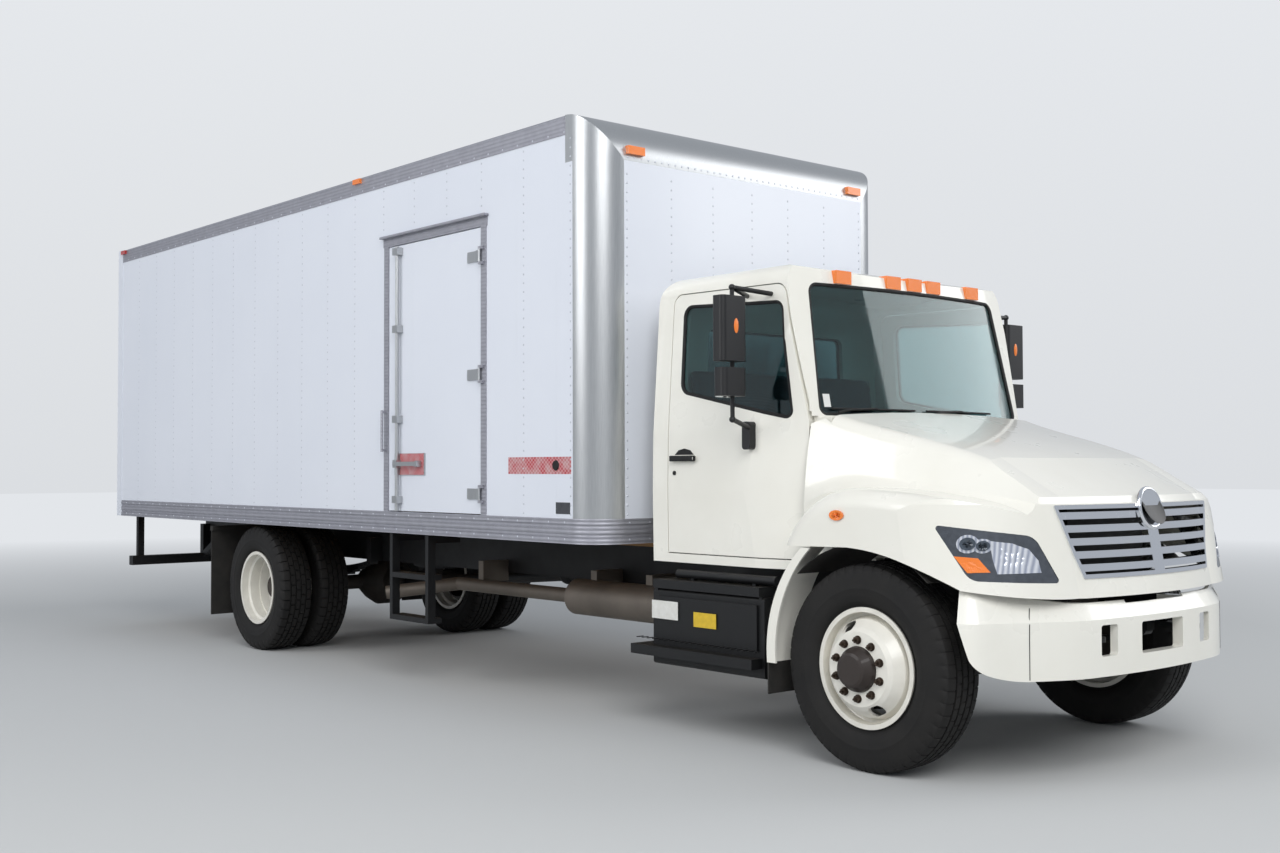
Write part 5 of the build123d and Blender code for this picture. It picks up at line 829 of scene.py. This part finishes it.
# Pressed ridges run along the rails, 25 mm apart
ridges = add(tree, "ShaderNodeTexWave", {"wave_type": "BANDS", "bands_direction": "Z", "wave_profile": "SIN"},
             {"Vector": place, "Scale": 12.6})
relief = bump(tree, ridges.outputs["Fac"], 0.6, 0.003)
surface(tree, {"Base Color": colour, "Roughness": 0.5, "Metallic": 0.7, "Normal": relief})
give(rail_metal, "box_rails", "side_door_frame", "cargo_roof")

# Rivets: low aluminium heads in upright rows where the wall sheets lap, and along the rails and the cap.
# Each head stands 2.5 mm proud of the sheet that it holds.
rivet_metal, tree, place = new_material("painted_rivet_heads")
wear = noise(tree, place, 30.0, 3.0)
colour = mixed(tree, wear, "#b4b7c0", "#d8dbe2")
surface(tree, {"Base Color": colour, "Roughness": 0.4, "Metallic": 0.35})
rivet_pitch = 0.055
screw_pitch = 0.16
rivet_sink = 0.0005
wall_x, front_wall_y, rail_x, rail_y = 1.293, -2.296, 1.297, -2.299
lower_rail_rows = (1.066, 1.166)
upper_rail_row = 3.516
seams = [front_axle_y + 2.598, -2.055] + [first_seam + seam_pitch * at for at in range(15)]
heights = [1.215 + rivet_pitch * at for at in range(42)]
spots = []
for side in (-1, 1):
    faced = Matrix.Rotation(0 if side > 0 else pi, 4, "Z")
    for y in seams:
        for z in heights:
            by_door = side < 0 and -1.26 < y < 0.15 and z < 3.19
            if not by_door:
                spots.append(Matrix.Translation((side * (wall_x - rivet_sink), y, z)) @ faced)
    # The rails' screws are about three rivets apart
    for at in range(44):
        for z in (*lower_rail_rows, upper_rail_row):
            spots.append(Matrix.Translation((side * (rail_x - rivet_sink), -2.0 + screw_pitch * at, z)) @ faced)
forward = Matrix.Rotation(-pi / 2, 4, "Z")
for x in (-1.052, -0.694, -0.341, 0.007, 0.341, 0.694, 1.052):
    for z in heights[:38]:
        spots.append(Matrix.Translation((x, front_wall_y + rivet_sink, z)) @ forward)
for at in range(14):
    for z in lower_rail_rows:
        spots.append(Matrix.Translation((-1.04 + screw_pitch * at, rail_y + rivet_sink, z)) @ forward)
cap_row = 3.352
for at in range(39):
    on_cap = met("nose_cap", (-1.045 + rivet_pitch * at, -4, cap_row), (0, 1, 0))
    spots.append(Matrix.Translation(on_cap) @ forward)
finished(many("body_rivets", disc("rivet", 0.0075, 0.003, 8, 0.004), spots), rivet_metal, "truck", "rail_aluminium")

# Reflective strip: red film stuck on beside the side door and on its latch plate.
# Its small squares are red and paler red, and the sun has faded both. A round black boss sits near its front.
film_strip, tree, place = new_material("red_and_white_reflective_film")
# One square to each unit of the checks: 16 mm long and 13 mm high
fitted = add(tree, "ShaderNodeMapping", {}, {"Vector": place, "Location": (0.5, 128.8, -112.0),
                                             "Scale": (0.0, 1 / 0.016, 1 / 0.013)})
checks = add(tree, "ShaderNodeTexChecker", {}, {"Vector": fitted.outputs[0], "Scale": 1.0,
                                                "Color1": linear("#b03238"), "Color2": linear("#c88488")})
fading = noise(tree, place, 22.0, 6.0)
share = ranged(tree, fading, (0.4, 0.7), (0.0, 0.45))
colour = mixed(tree, share, checks.outputs["Color"], "#c9c6c4")
beads = add(tree, "ShaderNodeTexVoronoi", {}, {"Vector": place, "Scale": 260.0, "Randomness": 0.0})
relief = bump(tree, beads.outputs["Distance"], 0.2, 0.0005)
surface(tree, {"Base Color": colour, "Roughness": 0.3, "Normal": relief, "Coat Weight": 0.4})
strip = boxes("reflective_strip", [((-1.2942, -2.0605, 1.456), (-1.2928, -1.4195, 1.560))])
finished(strip, film_strip, "truck", "wall_paint")
boss = disc("strip_boss", 0.032, 0.008, 28, 0.027)
boss.data.transform(Matrix.Translation((-1.2940, -1.912, 1.508)) @ Matrix.Rotation(pi, 4, "Z"))
finished(boss, seal_rubber, "truck", "mirror_plastic")
latch_film = boxes("latch_film", [((-1.3022, -0.4400, 1.448), (-1.3008, -0.1300, 1.594))])
finished(latch_film, film_strip, "side_door", "lock_steel")

# Corner posts, nose cap and side door hardware: brushed bare aluminium, rolled and riveted on.
# The brushing runs upright.
brushed_post, tree, place = new_material("brushed_aluminium_post")
stretch = add(tree, "ShaderNodeMapping", {}, {"Vector": place, "Scale": (60.0, 60.0, 1.5)})
brushing = noise(tree, stretch.outputs[0], 6.0, 4.0)
colour = mixed(tree, brushing, "#a9abad", "#c9cbcc")
surface(tree, {"Base Color": colour, "Roughness": 0.34, "Metallic": 0.9})
give(brushed_post, "corner_posts", "nose_cap", "side_door_hardware")

# Plates and labels: thin blank foil and vinyl plates on the body's side and on the battery box.
# They are bare, and glued flat.
# Columns: name, material, colour, worn colour, slot, low corner, high corner
for name, made_of, fresh, worn, slot, low, high in [
        ("body_plate", "printed_dark_foil", "#2c2e33", "#4b4d52", "wall_paint",
         (-1.2942, -2.05, 1.216), (-1.2928, -1.91, 1.286)),
        ("box_label_white", "white_vinyl_label", "#e8e8e4", "#c7c5bd", "black_paint",
         (-1.1115, -2.80, 0.632), (-1.1098, -2.58, 0.735)),
        ("box_label_yellow", "yellow_vinyl_label", "#e9c52c", "#b99a2b", "black_paint",
         (-1.1115, -3.11, 0.608), (-1.1098, -2.93, 0.690))]:
    label, tree, place = new_material(made_of)
    rubbed = noise(tree, place, 35.0, 5.0)
    colour = mixed(tree, rubbed, fresh, worn)
    surface(tree, {"Base Color": colour, "Roughness": 0.45})
    finished(boxes(name, [(low, high)]), label, "truck", slot)

# Cargo floor: laminated hardwood boards, screwed to the crossmembers.
# The boards and their grain run along the body.
floor_wood, tree, place = new_material("laminated_hardwood_floor")
stretch = add(tree, "ShaderNodeMapping", {}, {"Vector": place, "Scale": (30.0, 1.2, 30.0)})
grain = noise(tree, stretch.outputs[0], 2.0, 6.0)
colour = mixed(tree, grain, "#8a6238", "#b08a58")
surface(tree, {"Base Color": colour, "Roughness": 0.55})
give(floor_wood, "cargo_floor")

low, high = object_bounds()
